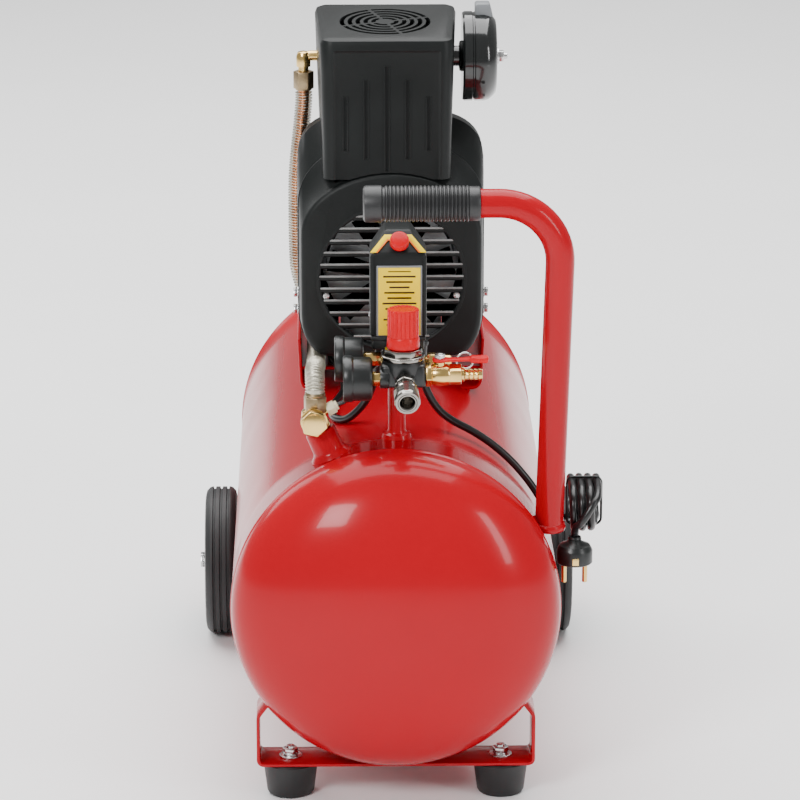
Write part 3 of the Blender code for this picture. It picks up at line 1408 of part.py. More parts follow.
def hank_and_plug():
    """The tied hank as one solid with round ends, and the two-pin plug that hangs from it."""
    low_y, middle_z = FRONT + 0.030, 0.2650
    middle_x = 0.1745
    radius, straight = HANK_HEIGHT / 2, HANK_LENGTH - HANK_HEIGHT
    loop = []
    for centre, first in ((straight / 2, -90), (-straight / 2, 90)):
        for step in range(9):
            angle = math.radians(first + 180 * step / 8)
            loop.append((centre + radius * math.cos(angle), radius * math.sin(angle)))
    at = (middle_x, low_y + HANK_LENGTH / 2, middle_z)
    hank = outline("cord_hank", [loop], HANK_THICKNESS, BLACK_RUBBER, at)
    hank.rotation_euler = (math.radians(90), 0, math.radians(90))
    plug_x, plug_y, plug_top = 0.1640, FRONT + 0.0340, middle_z - radius - GAP
    shoulder = plug_top - 0.008
    face = plug_top - 0.025
    profile = [
        (0, plug_top),
        (0.0060, plug_top),
        (0.0150, shoulder),
        (0.0165, shoulder - 0.004),
        (0.0165, face),
        (0, face),
    ]
    plug = turned("plug", profile, BLACK_PLASTIC, (plug_x, plug_y, 0), steps=16)
    for side in (-1, 1):
        pin_x = plug_x + side * 0.0095
        join(plug, rod(f"plug_pin_{side}", (pin_x, plug_y, face - 0.019), (pin_x, plug_y, face + 0.004), 0.0024, STEEL, 10))


tank()
foot_strap()
wheels()
drain()
handle()
saddle()
PIPE_START = check_valve()
MANIFOLD_BASE, _ = post_and_manifold()
pressure_switch(MANIFOLD_BASE)
gauges(MANIFOLD_BASE)
ball_valve(MANIFOLD_BASE)
safety_valve(MANIFOLD_BASE)
coupler(MANIFOLD_BASE)
crankcase()
cylinder()
cylinder_head()
crank_train()
motor()
fan("front_fan", PUMP + 0.019, 0.060, 7)
fan("rear_fan", PUMP + 0.228, 0.062, 7)
front_cover()
rear_shroud()
head_duct()
air_filter()
discharge(PIPE_START)
motor_cable()
power_cord()
hank_and_plug()
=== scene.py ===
import math

import bpy
from bpy.props import FloatProperty, FloatVectorProperty, IntProperty, PointerProperty
from bpy.types import Operator, Panel, PropertyGroup
from mathutils import Matrix, Vector


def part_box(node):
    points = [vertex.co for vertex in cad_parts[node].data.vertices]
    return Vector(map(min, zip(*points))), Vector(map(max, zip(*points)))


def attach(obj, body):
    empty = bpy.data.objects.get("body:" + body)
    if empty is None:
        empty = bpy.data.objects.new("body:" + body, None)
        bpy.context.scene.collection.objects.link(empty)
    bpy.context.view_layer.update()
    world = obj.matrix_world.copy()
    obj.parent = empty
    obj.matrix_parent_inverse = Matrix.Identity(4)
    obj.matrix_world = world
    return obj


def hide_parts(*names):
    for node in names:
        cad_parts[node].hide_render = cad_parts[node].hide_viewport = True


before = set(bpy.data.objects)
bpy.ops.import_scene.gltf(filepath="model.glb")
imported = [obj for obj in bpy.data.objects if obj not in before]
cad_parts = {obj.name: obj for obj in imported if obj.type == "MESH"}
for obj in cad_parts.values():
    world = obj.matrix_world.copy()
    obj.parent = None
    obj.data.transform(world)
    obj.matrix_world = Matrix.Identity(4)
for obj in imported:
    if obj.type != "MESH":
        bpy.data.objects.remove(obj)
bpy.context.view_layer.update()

bl_info = {
    "name": "Air compressor",
    "version": (1, 0, 0),
    "blender": (4, 5, 0),
    "location": "View3D > Sidebar > Compressor",
    "description": "Builds the visible pieces of a wheeled air compressor around its frame",
    "category": "Object",
}

# ---------------------------------------------------------------- numbers used in several places
GAP = 0.0003  # room the frame leaves between pieces that touch
SHEET = 0.003  # thickness of the bent steel sheets
MOULDED_WALL = 0.0025  # wall of the front cover and the shroud
PORT_LEAN = math.radians(-23)  # the check valve's lean from straight up
PORT_FROM_SEAM = 0.0308
ELBOW_X = -0.0825  # the upright part of the pipe's elbow
PIVOT_FROM_VALVE = 0.0125  # the lever's pivot, from the ball valve's inner end
OUTLET_AXIS = (0.04, -0.98, -0.19)  # the coupler points a little down and aside
ACROSS = (1, 0, 0)
ALONG = (0, 1, 0)
UP = (0, 0, 1)

CAMERA_PLACE = (-0.0623, -3.8542, 1.4259)
CAMERA_YAW = math.radians(1.065)
CAMERA_PITCH = math.radians(16.37)
CAMERA_LENS = 185.85
SENSOR_WIDTH = 36
LAMPS = (  # name, place, width, height, watts
    ("key", (-1.5, -2.6, 2.1), 0.9, 0.9, 62),
    ("fill", (2.3, -1.9, 1.3), 0.35, 1.5, 24),
    ("top", (0.0, 1.0, 4.2), 5.0, 5.0, 460),
    ("rim", (-1.9, 1.9, 1.7), 1.0, 1.6, 20),
)
LAMP_TARGET = Vector((0, 0, 0.3))
SKY_STRENGTH = 0.42

# The hood's front grooves: place across, height of the foot, drop from the top.
HOOD_GROOVES = (
    (0, 0.008, 0.020),
    (-0.0195, 0.020, 0.033),
    (0.0195, 0.020, 0.033),
    (-0.0390, 0.028, 0.049),
    (0.0390, 0.028, 0.049),
)

# ---------------------------------------------------------------- places read from the frame
BARREL_LOW, BARREL_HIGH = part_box("tank_barrel")
TANK_RADIUS = BARREL_HIGH.x
TANK_AXIS = BARREL_HIGH.z - TANK_RADIUS
TOP = BARREL_HIGH.z
FRONT = BARREL_LOW.y
REAR = BARREL_HIGH.y
DOME = -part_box("tank_front_head")[0].y + FRONT
COVER_LOW, COVER_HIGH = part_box("front_cover")
SHROUD_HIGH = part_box("rear_shroud")[1]
DUCT_LOW, DUCT_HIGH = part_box("head_duct")
ROTOR_LOW, ROTOR_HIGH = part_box("rotor")
CRANK_AXIS = (ROTOR_LOW.z + ROTOR_HIGH.z) / 2
PUMP = COVER_LOW.y
BLOCK_LOW, BLOCK_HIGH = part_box("manifold")
BLOCK_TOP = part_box("switch_base")[0].z - GAP
KNOB_LOW, KNOB_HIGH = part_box("regulator_knob")
HOUSING_LOW, HOUSING_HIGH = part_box("motor_housing")


# ---------------------------------------------------------------- settings
def size_setting(name, words, value):
    return FloatProperty(name=name, description=words, default=value, unit="LENGTH")


def count_setting(name, words, value):
    return IntProperty(name=name, description=words, default=value)


def colour_setting(name, words, value):
    return FloatVectorProperty(name=name, description=words, default=value, subtype="COLOR")


class CompressorSizes(PropertyGroup):
    """Sizes of the details that the frame leaves open."""

    seam_bead: size_setting("Seam bead", "Height of the weld beads round the tank", 0.0008)
    grip_rings: count_setting("Grip rings", "Rings moulded round the handle's grip", 22)
    tread_grooves: count_setting("Tread grooves", "Grooves round each tyre", 3)
    hub_ribs: count_setting("Hub ribs", "Stiffening ribs on each face of a wheel's hub", 8)
    slat_pitch: size_setting("Slat pitch", "Distance between the slats of the front window", 0.0117)
    window_radius: size_setting("Window radius", "Radius of the round front window", 0.069)
    knob_flutes: count_setting("Knob flutes", "Flutes round the regulator's knob", 20)
    pipe_pitch: size_setting("Pipe fin pitch", "Distance between the fins of the discharge pipe", 0.0027)
    motor_fins: count_setting("Motor fins", "Cooling fins round the motor", 32)
    cord_diameter: size_setting("Cord diameter", "Outer diameter of the mains cord", 0.0072)


class CompressorColours(PropertyGroup):
    """Base colours of the machine's finishes."""

    enamel: colour_setting("Enamel", "Colour of the painted steel", (0.40, 0.0003, 0.008))
    red_plastic: colour_setting("Red plastic", "Colour of the knobs", (0.62, 0.0008, 0.008))
    cover: colour_setting("Cover plastic", "Colour of the moulded covers", (0.0085, 0.0100, 0.0098))
    rubber: colour_setting("Rubber", "Colour of the feet, grip, tyres and cables", (0.0078, 0.0080, 0.0084))
    brass: colour_setting("Brass", "Colour of the brass fittings", (0.82, 0.56, 0.20))
    steel: colour_setting("Steel", "Colour of the plated steel", (0.66, 0.66, 0.66))
    label: colour_setting("Label", "Colour of the plain plate on the switch", (1.0, 0.70, 0.004))
    floor: colour_setting("Floor", "Colour of the floor", (0.95, 0.95, 0.95))


# ---------------------------------------------------------------- finishes
def surface(
    name, colour, roughness, metallic=0.0, coat=0.0, shine=0.5, grain=(500.0, 0.04), mottle=(9.0, 0.12),
    spread=0.06, stretch=(1, 1, 1),
):
    """A finish with a mottled colour, uneven gloss and fine grain, on Object coordinates."""
    made = bpy.data.materials.new(name)
    made.use_nodes = True
    nodes, links = made.node_tree.nodes, made.node_tree.links
    shader = nodes["Principled BSDF"]
    shader.inputs["Metallic"].default_value = metallic
    shader.inputs["Coat Weight"].default_value = coat
    shader.inputs["Specular IOR Level"].default_value = shine
    shader.inputs["Coat Roughness"].default_value = 0.04
    where = nodes.new("ShaderNodeTexCoord")
    turn_to = nodes.new("ShaderNodeMapping")
    turn_to.inputs["Scale"].default_value = stretch
    links.new(where.outputs["Object"], turn_to.inputs["Vector"])

    def noise(scale, detail):
        texture = nodes.new("ShaderNodeTexNoise")
        texture.inputs["Scale"].default_value = scale
        texture.inputs["Detail"].default_value = detail
        links.new(turn_to.outputs["Vector"], texture.inputs["Vector"])
        return texture.outputs["Fac"]

    ramp = nodes.new("ShaderNodeValToRGB")
    ramp.color_ramp.elements[0].position = 0.3
    ramp.color_ramp.elements[1].position = 0.7
    ramp.color_ramp.elements[0].color = (*[c * (1 - mottle[1]) for c in colour], 1)
    ramp.color_ramp.elements[1].color = (*[min(1, c * (1 + mottle[1])) for c in colour], 1)
    links.new(noise(mottle[0], 4), ramp.inputs["Fac"])
    links.new(ramp.outputs["Color"], shader.inputs["Base Color"])
    gloss = nodes.new("ShaderNodeMapRange")
    gloss.inputs["To Min"].default_value = max(0.02, roughness - spread)
    gloss.inputs["To Max"].default_value = min(1, roughness + spread)
    links.new(noise(mottle[0] * 3, 5), gloss.inputs["Value"])
    links.new(gloss.outputs["Result"], shader.inputs["Roughness"])
    bump = nodes.new("ShaderNodeBump")
    bump.inputs["Strength"].default_value = grain[1]
    bump.inputs["Distance"].default_value = 0.0006
    links.new(noise(grain[0], 3), bump.inputs["Height"])
    links.new(bump.outputs["Normal"], shader.inputs["Normal"])
    return made


def ruled(name, colour, line_colour, spacing, half_width, middle_x, low, high):
    """The plate's finish: its own colour with plain level lines between two heights."""
    made = surface(name, colour, 0.34, shine=0.12, grain=(300, 0.02), mottle=(30, 0.05))
    nodes, links = made.node_tree.nodes, made.node_tree.links
    shader = nodes["Principled BSDF"]
    plain = shader.inputs["Base Color"].links[0].from_socket
    where = nodes.new("ShaderNodeTexCoord")
    split = nodes.new("ShaderNodeSeparateXYZ")
    links.new(where.outputs["Object"], split.inputs["Vector"])

    def sum_of(operation, first, second):
        node = nodes.new("ShaderNodeMath")
        node.operation = operation
        for socket, value in zip(node.inputs, (first, second)):
            if isinstance(value, (int, float)):
                socket.default_value = value
            else:
                links.new(value, socket)
        return node.outputs["Value"]

    height = sum_of("DIVIDE", sum_of("SUBTRACT", split.outputs["Z"], low), spacing)
    line = sum_of("LESS_THAN", sum_of("FRACT", height, 0), 0.34)
    row = sum_of("FRACT", sum_of("MULTIPLY", sum_of("FLOOR", height, 0), 0.381), 0)
    reach = sum_of("MULTIPLY", sum_of("ADD", sum_of("MULTIPLY", row, 0.45), 0.55), half_width)
    across = sum_of(
        "LESS_THAN", sum_of("ABSOLUTE", sum_of("SUBTRACT", split.outputs["X"], middle_x), 0), reach,
    )
    above = sum_of("GREATER_THAN", split.outputs["Z"], low)
    below = sum_of("LESS_THAN", split.outputs["Z"], high)
    mask = sum_of("MULTIPLY", sum_of("MULTIPLY", line, across), sum_of("MULTIPLY", above, below))
    mix = nodes.new("ShaderNodeMix")
    mix.data_type = "RGBA"
    links.new(mask, mix.inputs["Factor"])
    links.new(plain, mix.inputs["A"])
    mix.inputs["B"].default_value = (*line_colour, 1)
    links.new(mix.outputs["Result"], shader.inputs["Base Color"])
    return made


FINISH = {}


def make_finishes():
    """Makes every finish once, from the colours in the panel."""
    colour = bpy.context.scene.compressor_colours
    cover, rubber, steel, brass = (
        list(c)
        for c in (colour.cover, colour.rubber, colour.steel, colour.brass)
    )
    FINISH.update(
        enamel=surface(
            "red_enamel", list(colour.enamel), 0.22, coat=0.15, shine=0.14, grain=(90, 0.035),
            mottle=(5, 0.05), spread=0.05,
        ),
        red=surface(
            "red_knob_plastic", list(colour.red_plastic), 0.28, shine=0.18, grain=(700, 0.03),
            mottle=(40, 0.05),
        ),
        cover=surface(
            "cover_plastic", cover, 0.42, shine=0.20, grain=(900, 0.16), mottle=(12, 0.25), spread=0.07,
        ),
        # Lip finish: light grey, a painted highlight for the lines of light along the top edges of the
        # front window's slats.
        lip=surface("slat_painted_highlight", [0.20, 0.205, 0.20], 0.26, grain=(500, 0.05), mottle=(60, 0.3)),
        # Fan finish: the fans are black plastic, made far darker than the cover and almost without shine as
        # painted shade for the shadow they sit in behind the slats and the fan cover.
        dark=surface(
            "dark_plastic", [0.0012, 0.0012, 0.0012], 0.8, shine=0.04, grain=(500, 0.05), mottle=(30, 0.2),
        ),
        gloss=surface(
            "gloss_plastic", [c * 0.8 for c in cover], 0.16, coat=0.5, grain=(200, 0.02), mottle=(20, 0.2),
            spread=0.04,
        ),
        black=surface("black_plastic", [c * 0.9 for c in cover], 0.34, grain=(700, 0.08), mottle=(25, 0.2)),
        # Grip rubber: shinier than the other rubber, and 1.8 times lighter as painted highlight for the
        # sheen along the grip.
        grip=surface(
            "grip_rubber_painted_sheen", [c * 1.8 for c in rubber], 0.40, grain=(800, 0.10), mottle=(30, 0.2),
            spread=0.10,
        ),
        rubber=surface("black_rubber", rubber, 0.48, grain=(800, 0.12), mottle=(30, 0.2), spread=0.10),
        tyre=surface(
            "tyre_rubber", [c * 1.3 for c in rubber], 0.58, grain=(420, 0.20), mottle=(18, 0.3),
            spread=0.10,
        ),
        cable=surface("cable_sheath", [c * 0.8 for c in rubber], 0.30, grain=(600, 0.05), mottle=(50, 0.1)),
        steel=surface(
            "zinc_steel", steel, 0.26, metallic=1, grain=(260, 0.10), mottle=(60, 0.12), spread=0.10,
        ),
        chrome=surface(
            "bright_plating", [0.30, 0.285, 0.26], 0.14, metallic=1, grain=(500, 0.02), mottle=(80, 0.06),
            spread=0.04,
        ),
        brass=surface(
            "turned_brass", brass, 0.20, metallic=1, grain=(320, 0.06), mottle=(45, 0.14), spread=0.08,
        ),
        dull_brass=surface(
            "aged_brass", [brass[0] * 0.42, brass[1] * 0.46, brass[2] * 0.75], 0.36, metallic=1,
            grain=(320, 0.12), mottle=(60, 0.25), spread=0.10,
        ),
        copper=surface(
            "copper", [0.72, 0.30, 0.14], 0.30, metallic=1, grain=(300, 0.06), mottle=(60, 0.20),
        ),
        fins=surface(
            "fin_aluminium", [0.70, 0.67, 0.60], 0.34, metallic=1, grain=(300, 0.10), mottle=(40, 0.15),
        ),
        hose=surface(
            "corrugated_sheath", [0.50, 0.47, 0.38], 0.36, metallic=0.75, grain=(300, 0.12),
            mottle=(50, 0.16),
        ),
        cast=surface(
            "cast_aluminium", [0.50, 0.51, 0.52], 0.46, metallic=1, grain=(260, 0.30), mottle=(24, 0.12),
            spread=0.10,
        ),
        iron=surface(
            "varnished_iron", [0.16, 0.13, 0.11], 0.40, metallic=0.8, grain=(300, 0.15), mottle=(30, 0.3),
        ),
        winding=surface(
            "varnished_winding", [0.50, 0.20, 0.08], 0.32, metallic=0.7, grain=(340, 0.5), mottle=(60, 0.3),
            stretch=(1, 0.1, 1),
        ),
        amber=surface(
            "yellow_frame", list(colour.label), 0.30, shine=0.15, grain=(300, 0.02), mottle=(30, 0.06),
        ),
        orange=surface("orange_edge", [0.80, 0.16, 0.01], 0.32, grain=(300, 0.02), mottle=(30, 0.06)),
        dial=surface("dial_face", [0.80, 0.80, 0.78], 0.45, grain=(300, 0.01), mottle=(30, 0.02)),
        cream=surface("cream_nylon", [0.78, 0.70, 0.46], 0.40, grain=(500, 0.05), mottle=(50, 0.08)),
        grey=surface("grey_plastic", [0.20, 0.21, 0.22], 0.42, grain=(600, 0.10), mottle=(40, 0.1)),
        floor=surface("floor", list(colour.floor), 0.60, grain=(60, 0.02), mottle=(2, 0.01)),
    )
    glass = bpy.data.materials.new("gauge_glass")
    glass.use_nodes = True
    shader = glass.node_tree.nodes["Principled BSDF"]
    shader.inputs["Roughness"].default_value = 0.04
    shader.inputs["IOR"].default_value = 1.49
    shader.inputs["Transmission Weight"].default_value = 1.0
    shader.inputs["Base Color"].default_value = (0.96, 0.98, 0.98, 1)
    FINISH["glass"] = glass


# ---------------------------------------------------------------- modelling
def deselect():
    """Selects nothing."""
    bpy.ops.object.select_all(action="DESELECT")


def only(piece):
    """Makes one piece the only one selected, and the active one."""
    deselect()
    piece.select_set(True)
    bpy.context.view_layer.objects.active = piece


def draw(name, points, close=False):
    """Leaves a new piece in edit mode: one vertex drawn out along the points, filled on request."""
    points = [Vector(point) for point in points]
    deselect()
    bpy.ops.mesh.primitive_plane_add(size=0.01, location=(0, 0, 0))
    piece = bpy.context.object
    piece.name = piece.data.name = name
    bpy.ops.object.mode_set(mode="EDIT")
    bpy.ops.mesh.select_mode(type="VERT")
    bpy.ops.mesh.select_all(action="SELECT")
    bpy.ops.mesh.merge(type="CENTER")
    bpy.ops.transform.translate(value=points[0])
    for before, after in zip(points, points[1:]):
        bpy.ops.mesh.extrude_vertices_move(TRANSFORM_OT_translate={"value": after - before})
    bpy.ops.mesh.select_all(action="SELECT")
    if close:
        bpy.ops.mesh.edge_face_add()
    return piece


def close_up(piece, doubles=0.00001):
    """Merges doubles, turns the faces outwards and leaves edit mode."""
    bpy.ops.mesh.select_all(action="SELECT")
    bpy.ops.mesh.remove_doubles(threshold=doubles)
    bpy.ops.mesh.normals_make_consistent(inside=False)
    bpy.ops.object.mode_set(mode="OBJECT")
    return piece


def seat(piece, at, axis=(0, 0, 1), turn_first=0.0):
    """Turns the piece's own Z to an axis, moves it to its place and applies both to the mesh."""
    only(piece)
    lean = Vector((0, 0, 1)).rotation_difference(Vector(axis))
    piece.rotation_euler = (lean.to_matrix() @ Matrix.Rotation(turn_first, 3, "Z")).to_euler()
    piece.location = at
    bpy.ops.object.transform_apply(location=True, rotation=True, scale=True)
    return piece


def apply(piece, kind, **settings):
    """Adds one modifier, sets it and applies it."""
    only(piece)
    modifier = piece.modifiers.new(kind.title(), kind)
    for key, value in settings.items():
        setattr(modifier, key, value)
    bpy.ops.object.modifier_apply(modifier=modifier.name)
    return piece


def soften(piece, width, segments=2, angle=30):
    """Rounds every edge sharper than an angle."""
    return apply(
        piece, "BEVEL", width=width, segments=segments, limit_method="ANGLE",
        angle_limit=math.radians(angle), harden_normals=False,
    )


def turned(name, profile, at=(0, 0, 0), axis=(0, 0, 1), steps=48, ring=False, bevel=0.0, segments=2):
    """A lathe piece: the profile of (radius, height) is drawn out and spun a full turn."""
    points = [(radius, 0, height) for radius, height in profile]
    if ring:
        points.append(points[0])
    piece = draw(name, points)
    bpy.ops.mesh.spin(steps=steps, angle=2 * math.pi, center=(0, 0, 0), axis=(0, 0, 1))
    close_up(piece)
    if bevel:
        soften(piece, bevel, segments, 35)
    return seat(piece, at, axis)


def round_bar(name, radius, low, high, *place, **more):
    """A plain turned bar between two heights: a pin, a boss or a round cutter."""
    return turned(name, [(0, low), (radius, low), (radius, high), (0, high)], *place, **more)


def prism(name, sides, radius, low, high, at=(0, 0, 0), axis=(0, 0, 1), bevel=0.0006, dome=0.0, start=0.0):
    """A nut, bolt head or pin: a cylinder with rounded edges. dome raises or sinks its top."""
    deselect()
    bpy.ops.mesh.primitive_cylinder_add(vertices=sides, radius=radius, depth=high - low, location=(0, 0, 0))
    piece = bpy.context.object
    piece.name = piece.data.name = name
    bpy.ops.object.mode_set(mode="EDIT")
    bpy.ops.mesh.select_all(action="SELECT")
    bpy.ops.transform.translate(value=(0, 0, (low + high) / 2))
    if dome:
        pick(piece, lambda face: face.normal.z > 0.9)
        bpy.ops.mesh.inset(thickness=radius * 0.18, depth=dome)
    bpy.ops.object.mode_set(mode="OBJECT")
    if bevel:
        soften(piece, bevel, 2, 25)
    return seat(piece, at, axis, start)


def pick(piece, wanted):
    """Selects, in edit mode, just the faces that a test accepts."""
    bpy.ops.mesh.select_all(action="DESELECT")
    bpy.ops.object.mode_set(mode="OBJECT")
    for face in piece.data.polygons:
        face.select = wanted(face)
    bpy.ops.object.mode_set(mode="EDIT")
    bpy.ops.mesh.select_mode(type="FACE")


def block(name, low, high, bevel=0.001, segments=3):
    """A block between two corners with every edge rounded."""
    low, high = Vector(low), Vector(high)
    deselect()
    bpy.ops.mesh.primitive_cube_add(size=1, location=(0, 0, 0))
    piece = bpy.context.object
    piece.name = piece.data.name = name
    bpy.ops.object.mode_set(mode="EDIT")
    bpy.ops.mesh.select_all(action="SELECT")
    bpy.ops.transform.resize(value=high - low)
    if bevel:
        bpy.ops.mesh.bevel(offset=bevel, segments=segments, affect="EDGES")
    bpy.ops.object.mode_set(mode="OBJECT")
    return seat(piece, (low + high) / 2)


def slab(name, outline, way, bevel=0.0, segments=2):
    """A flat outline drawn in space, filled and extruded one way."""
    piece = draw(name, outline, close=True)
    bpy.ops.mesh.extrude_region_move(TRANSFORM_OT_translate={"value": Vector(way)})
    close_up(piece)
    if bevel:
        soften(piece, bevel, segments, 40)
    return piece


def bent_sheet(name, path, low_y, high_y, sheet, bevel=0.0007):
    """A bent strip of sheet metal: a path of (x, z), extruded along Y and given its thickness."""
    piece = draw(name, [(x, low_y, z) for x, z in path])
    bpy.ops.mesh.extrude_region_move(TRANSFORM_OT_translate={"value": Vector((0, high_y - low_y, 0))})
    close_up(piece)
    apply(piece, "SOLIDIFY", thickness=sheet, offset=0, use_even_offset=True)
    return soften(piece, bevel, 2, 50)


def curve_along(name, points, radius, sides, radii=None, closed=False):
    """A round curve through points. sides is Blender's bevel resolution."""
    curve = bpy.data.curves.new(name, "CURVE")
    curve.dimensions = "3D"
    curve.bevel_depth = radius
    curve.bevel_resolution = sides
    curve.use_fill_caps = True
    spline = curve.splines.new("POLY")
    spline.points.add(len(points) - 1)
    for index, (point, co) in enumerate(zip(spline.points, points)):
        point.co = (*co, 1)
        point.radius = radii[index] if radii else 1
    spline.use_cyclic_u = closed
    piece = bpy.data.objects.new(name, curve)
    bpy.context.scene.collection.objects.link(piece)
    return piece


def tube(name, points, radius, sides=6, radii=None, closed=False):
    """A round tube along points, made a mesh."""
    only(curve_along(name, points, radius, sides, radii, closed))
    bpy.ops.object.convert(target="MESH")
    piece = bpy.context.object
    bpy.ops.object.mode_set(mode="EDIT")
    return close_up(piece, 0.000001)


def merge(*pieces):
    """Joins pieces into the first one."""
    deselect()
    for piece in pieces:
        piece.select_set(True)
    bpy.context.view_layer.objects.active = pieces[0]
    bpy.ops.object.join()
    return pieces[0]


def carve(piece, *tools):
    """Cuts the tools out of the piece and removes them."""
    for tool in tools:
        apply(piece, "BOOLEAN", operation="DIFFERENCE", solver="EXACT", object=tool)
        bpy.data.objects.remove(tool)
    return piece


def dress(piece, finish, body="chassis", replaces=(), smooth=32):
    """Gives the piece its finish, its record slot, its body and the frame nodes it stands for."""
    piece.data.materials.clear()
    piece.data.materials.append(FINISH[finish])
    only(piece)
    if smooth:
        bpy.ops.object.shade_smooth_by_angle(angle=math.radians(smooth))
    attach(piece, body)
    if replaces:
        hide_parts(*replaces)
    return piece


def redress(node, finish):
    """A new finish on a frame node whose shape is right."""
    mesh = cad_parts[node].data
    mesh.materials.clear()
    mesh.materials.append(FINISH[finish])


def rounded(points, radius, segments=8):
    """The polyline with each inner corner replaced by an arc."""
    corners = [Vector(point) for point in points]
    path = [corners[0]]
    for before, corner, after in zip(corners, corners[1:], corners[2:]):
        back, ahead = (before - corner).normalized(), (after - corner).normalized()
        half = back.angle(ahead) / 2
        inset = min(
            radius / math.tan(half), (before - corner).length * 0.49, (after - corner).length * 0.49,
        )
        centre = corner + (back + ahead).normalized() * (inset / math.cos(half))
        first, last = corner + back * inset - centre, corner + ahead * inset - centre
        sweep = first.angle(last)
        for step in range(segments + 1):
            share = step / segments
            path.append(
                centre + (
                    first * math.sin((1 - share) * sweep) + last * math.sin(share * sweep)
                ) / math.sin(sweep)
            )
    path.append(corners[-1])
    return path


def smooth_route(route, spacing):
    """Points at an even spacing on the Catmull-Rom curve through the route."""
    knots = [Vector(point) for point in route]
    knots = [2 * knots[0] - knots[1], *knots, 2 * knots[-1] - knots[-2]]
    fine = []
    for a, b, c, d in zip(knots, knots[1:], knots[2:], knots[3:]):
        for step in range(20):
            t = step / 20
            fine.append(
                0.5 * (
                    2 * b + (c - a) * t + (
                        2 * a - 5 * b + 4 * c - d
                    ) * t * t + (3 * b - a - 3 * c + d) * t**3
                )
            )
    fine.append(knots[-2])
    lengths = [0.0]
    for near, far in zip(fine, fine[1:]):
        lengths.append(lengths[-1] + (far - near).length)
    count = max(2, round(lengths[-1] / spacing))
    points, index = [], 0
    for step in range(count + 1):
        target = lengths[-1] * step / count
        while index < len(fine) - 2 and lengths[index + 1] < target:
            index += 1
        stretch = lengths[index + 1] - lengths[index]
        share = (target - lengths[index]) / stretch if stretch else 0
        points.append(fine[index].lerp(fine[index + 1], min(share, 1)))
    return points


def on_tank(angle, height, y):
    """A point over the tank's skin, at an angle from straight up towards +X."""
    reach = TANK_RADIUS + height
    return Vector((reach * math.sin(angle), y, TANK_AXIS + reach * math.cos(angle)))


def circle(radius, sides, start=0.0):
    """The (x, y) corners of a regular polygon."""
    turn = 2 * math.pi / sides
    return [
        (radius * math.cos(start + i * turn), radius * math.sin(start + i * turn))
        for i in range(sides)
    ]


# ---------------------------------------------------------------- stage
def build_stage():
    """The floor, the camera, an even white sky and four lamps."""
    deselect()
    bpy.ops.mesh.primitive_plane_add(size=14, location=(0, 0, 0))
    floor = bpy.context.object
    floor.name = "floor"
    floor.data.materials.append(FINISH["floor"])

    yaw, pitch = CAMERA_YAW, CAMERA_PITCH
    ahead = Vector((math.sin(yaw) * math.cos(pitch), math.cos(yaw) * math.cos(pitch), -math.sin(pitch)))
    right = Vector((math.cos(yaw), -math.sin(yaw), 0))
    bpy.ops.object.camera_add(location=CAMERA_PLACE)
    camera = bpy.context.object
    camera.rotation_euler = Matrix((right, right.cross(ahead), -ahead)).transposed().to_euler()
    camera.data.lens = CAMERA_LENS
    camera.data.sensor_width = SENSOR_WIDTH
    camera.data.clip_end = 60
    camera.data.dof.use_dof = False
    bpy.context.scene.camera = camera

    world = bpy.data.worlds.new("studio")
    bpy.context.scene.world = world
    world.use_nodes = True
    backdrop = world.node_tree.nodes["Background"]
    backdrop.inputs["Color"].default_value = (1, 1, 1, 1)
    backdrop.inputs["Strength"].default_value = SKY_STRENGTH
    for name, place, width, height, power in LAMPS:
        bpy.ops.object.light_add(type="AREA", location=place)
        lamp = bpy.context.object
        lamp.name = name
        lamp.rotation_euler = (LAMP_TARGET - Vector(place)).to_track_quat("-Z", "Y").to_euler()
        lamp.data.shape = "RECTANGLE"
        lamp.data.size, lamp.data.size_y = width, height
        lamp.data.energy = power


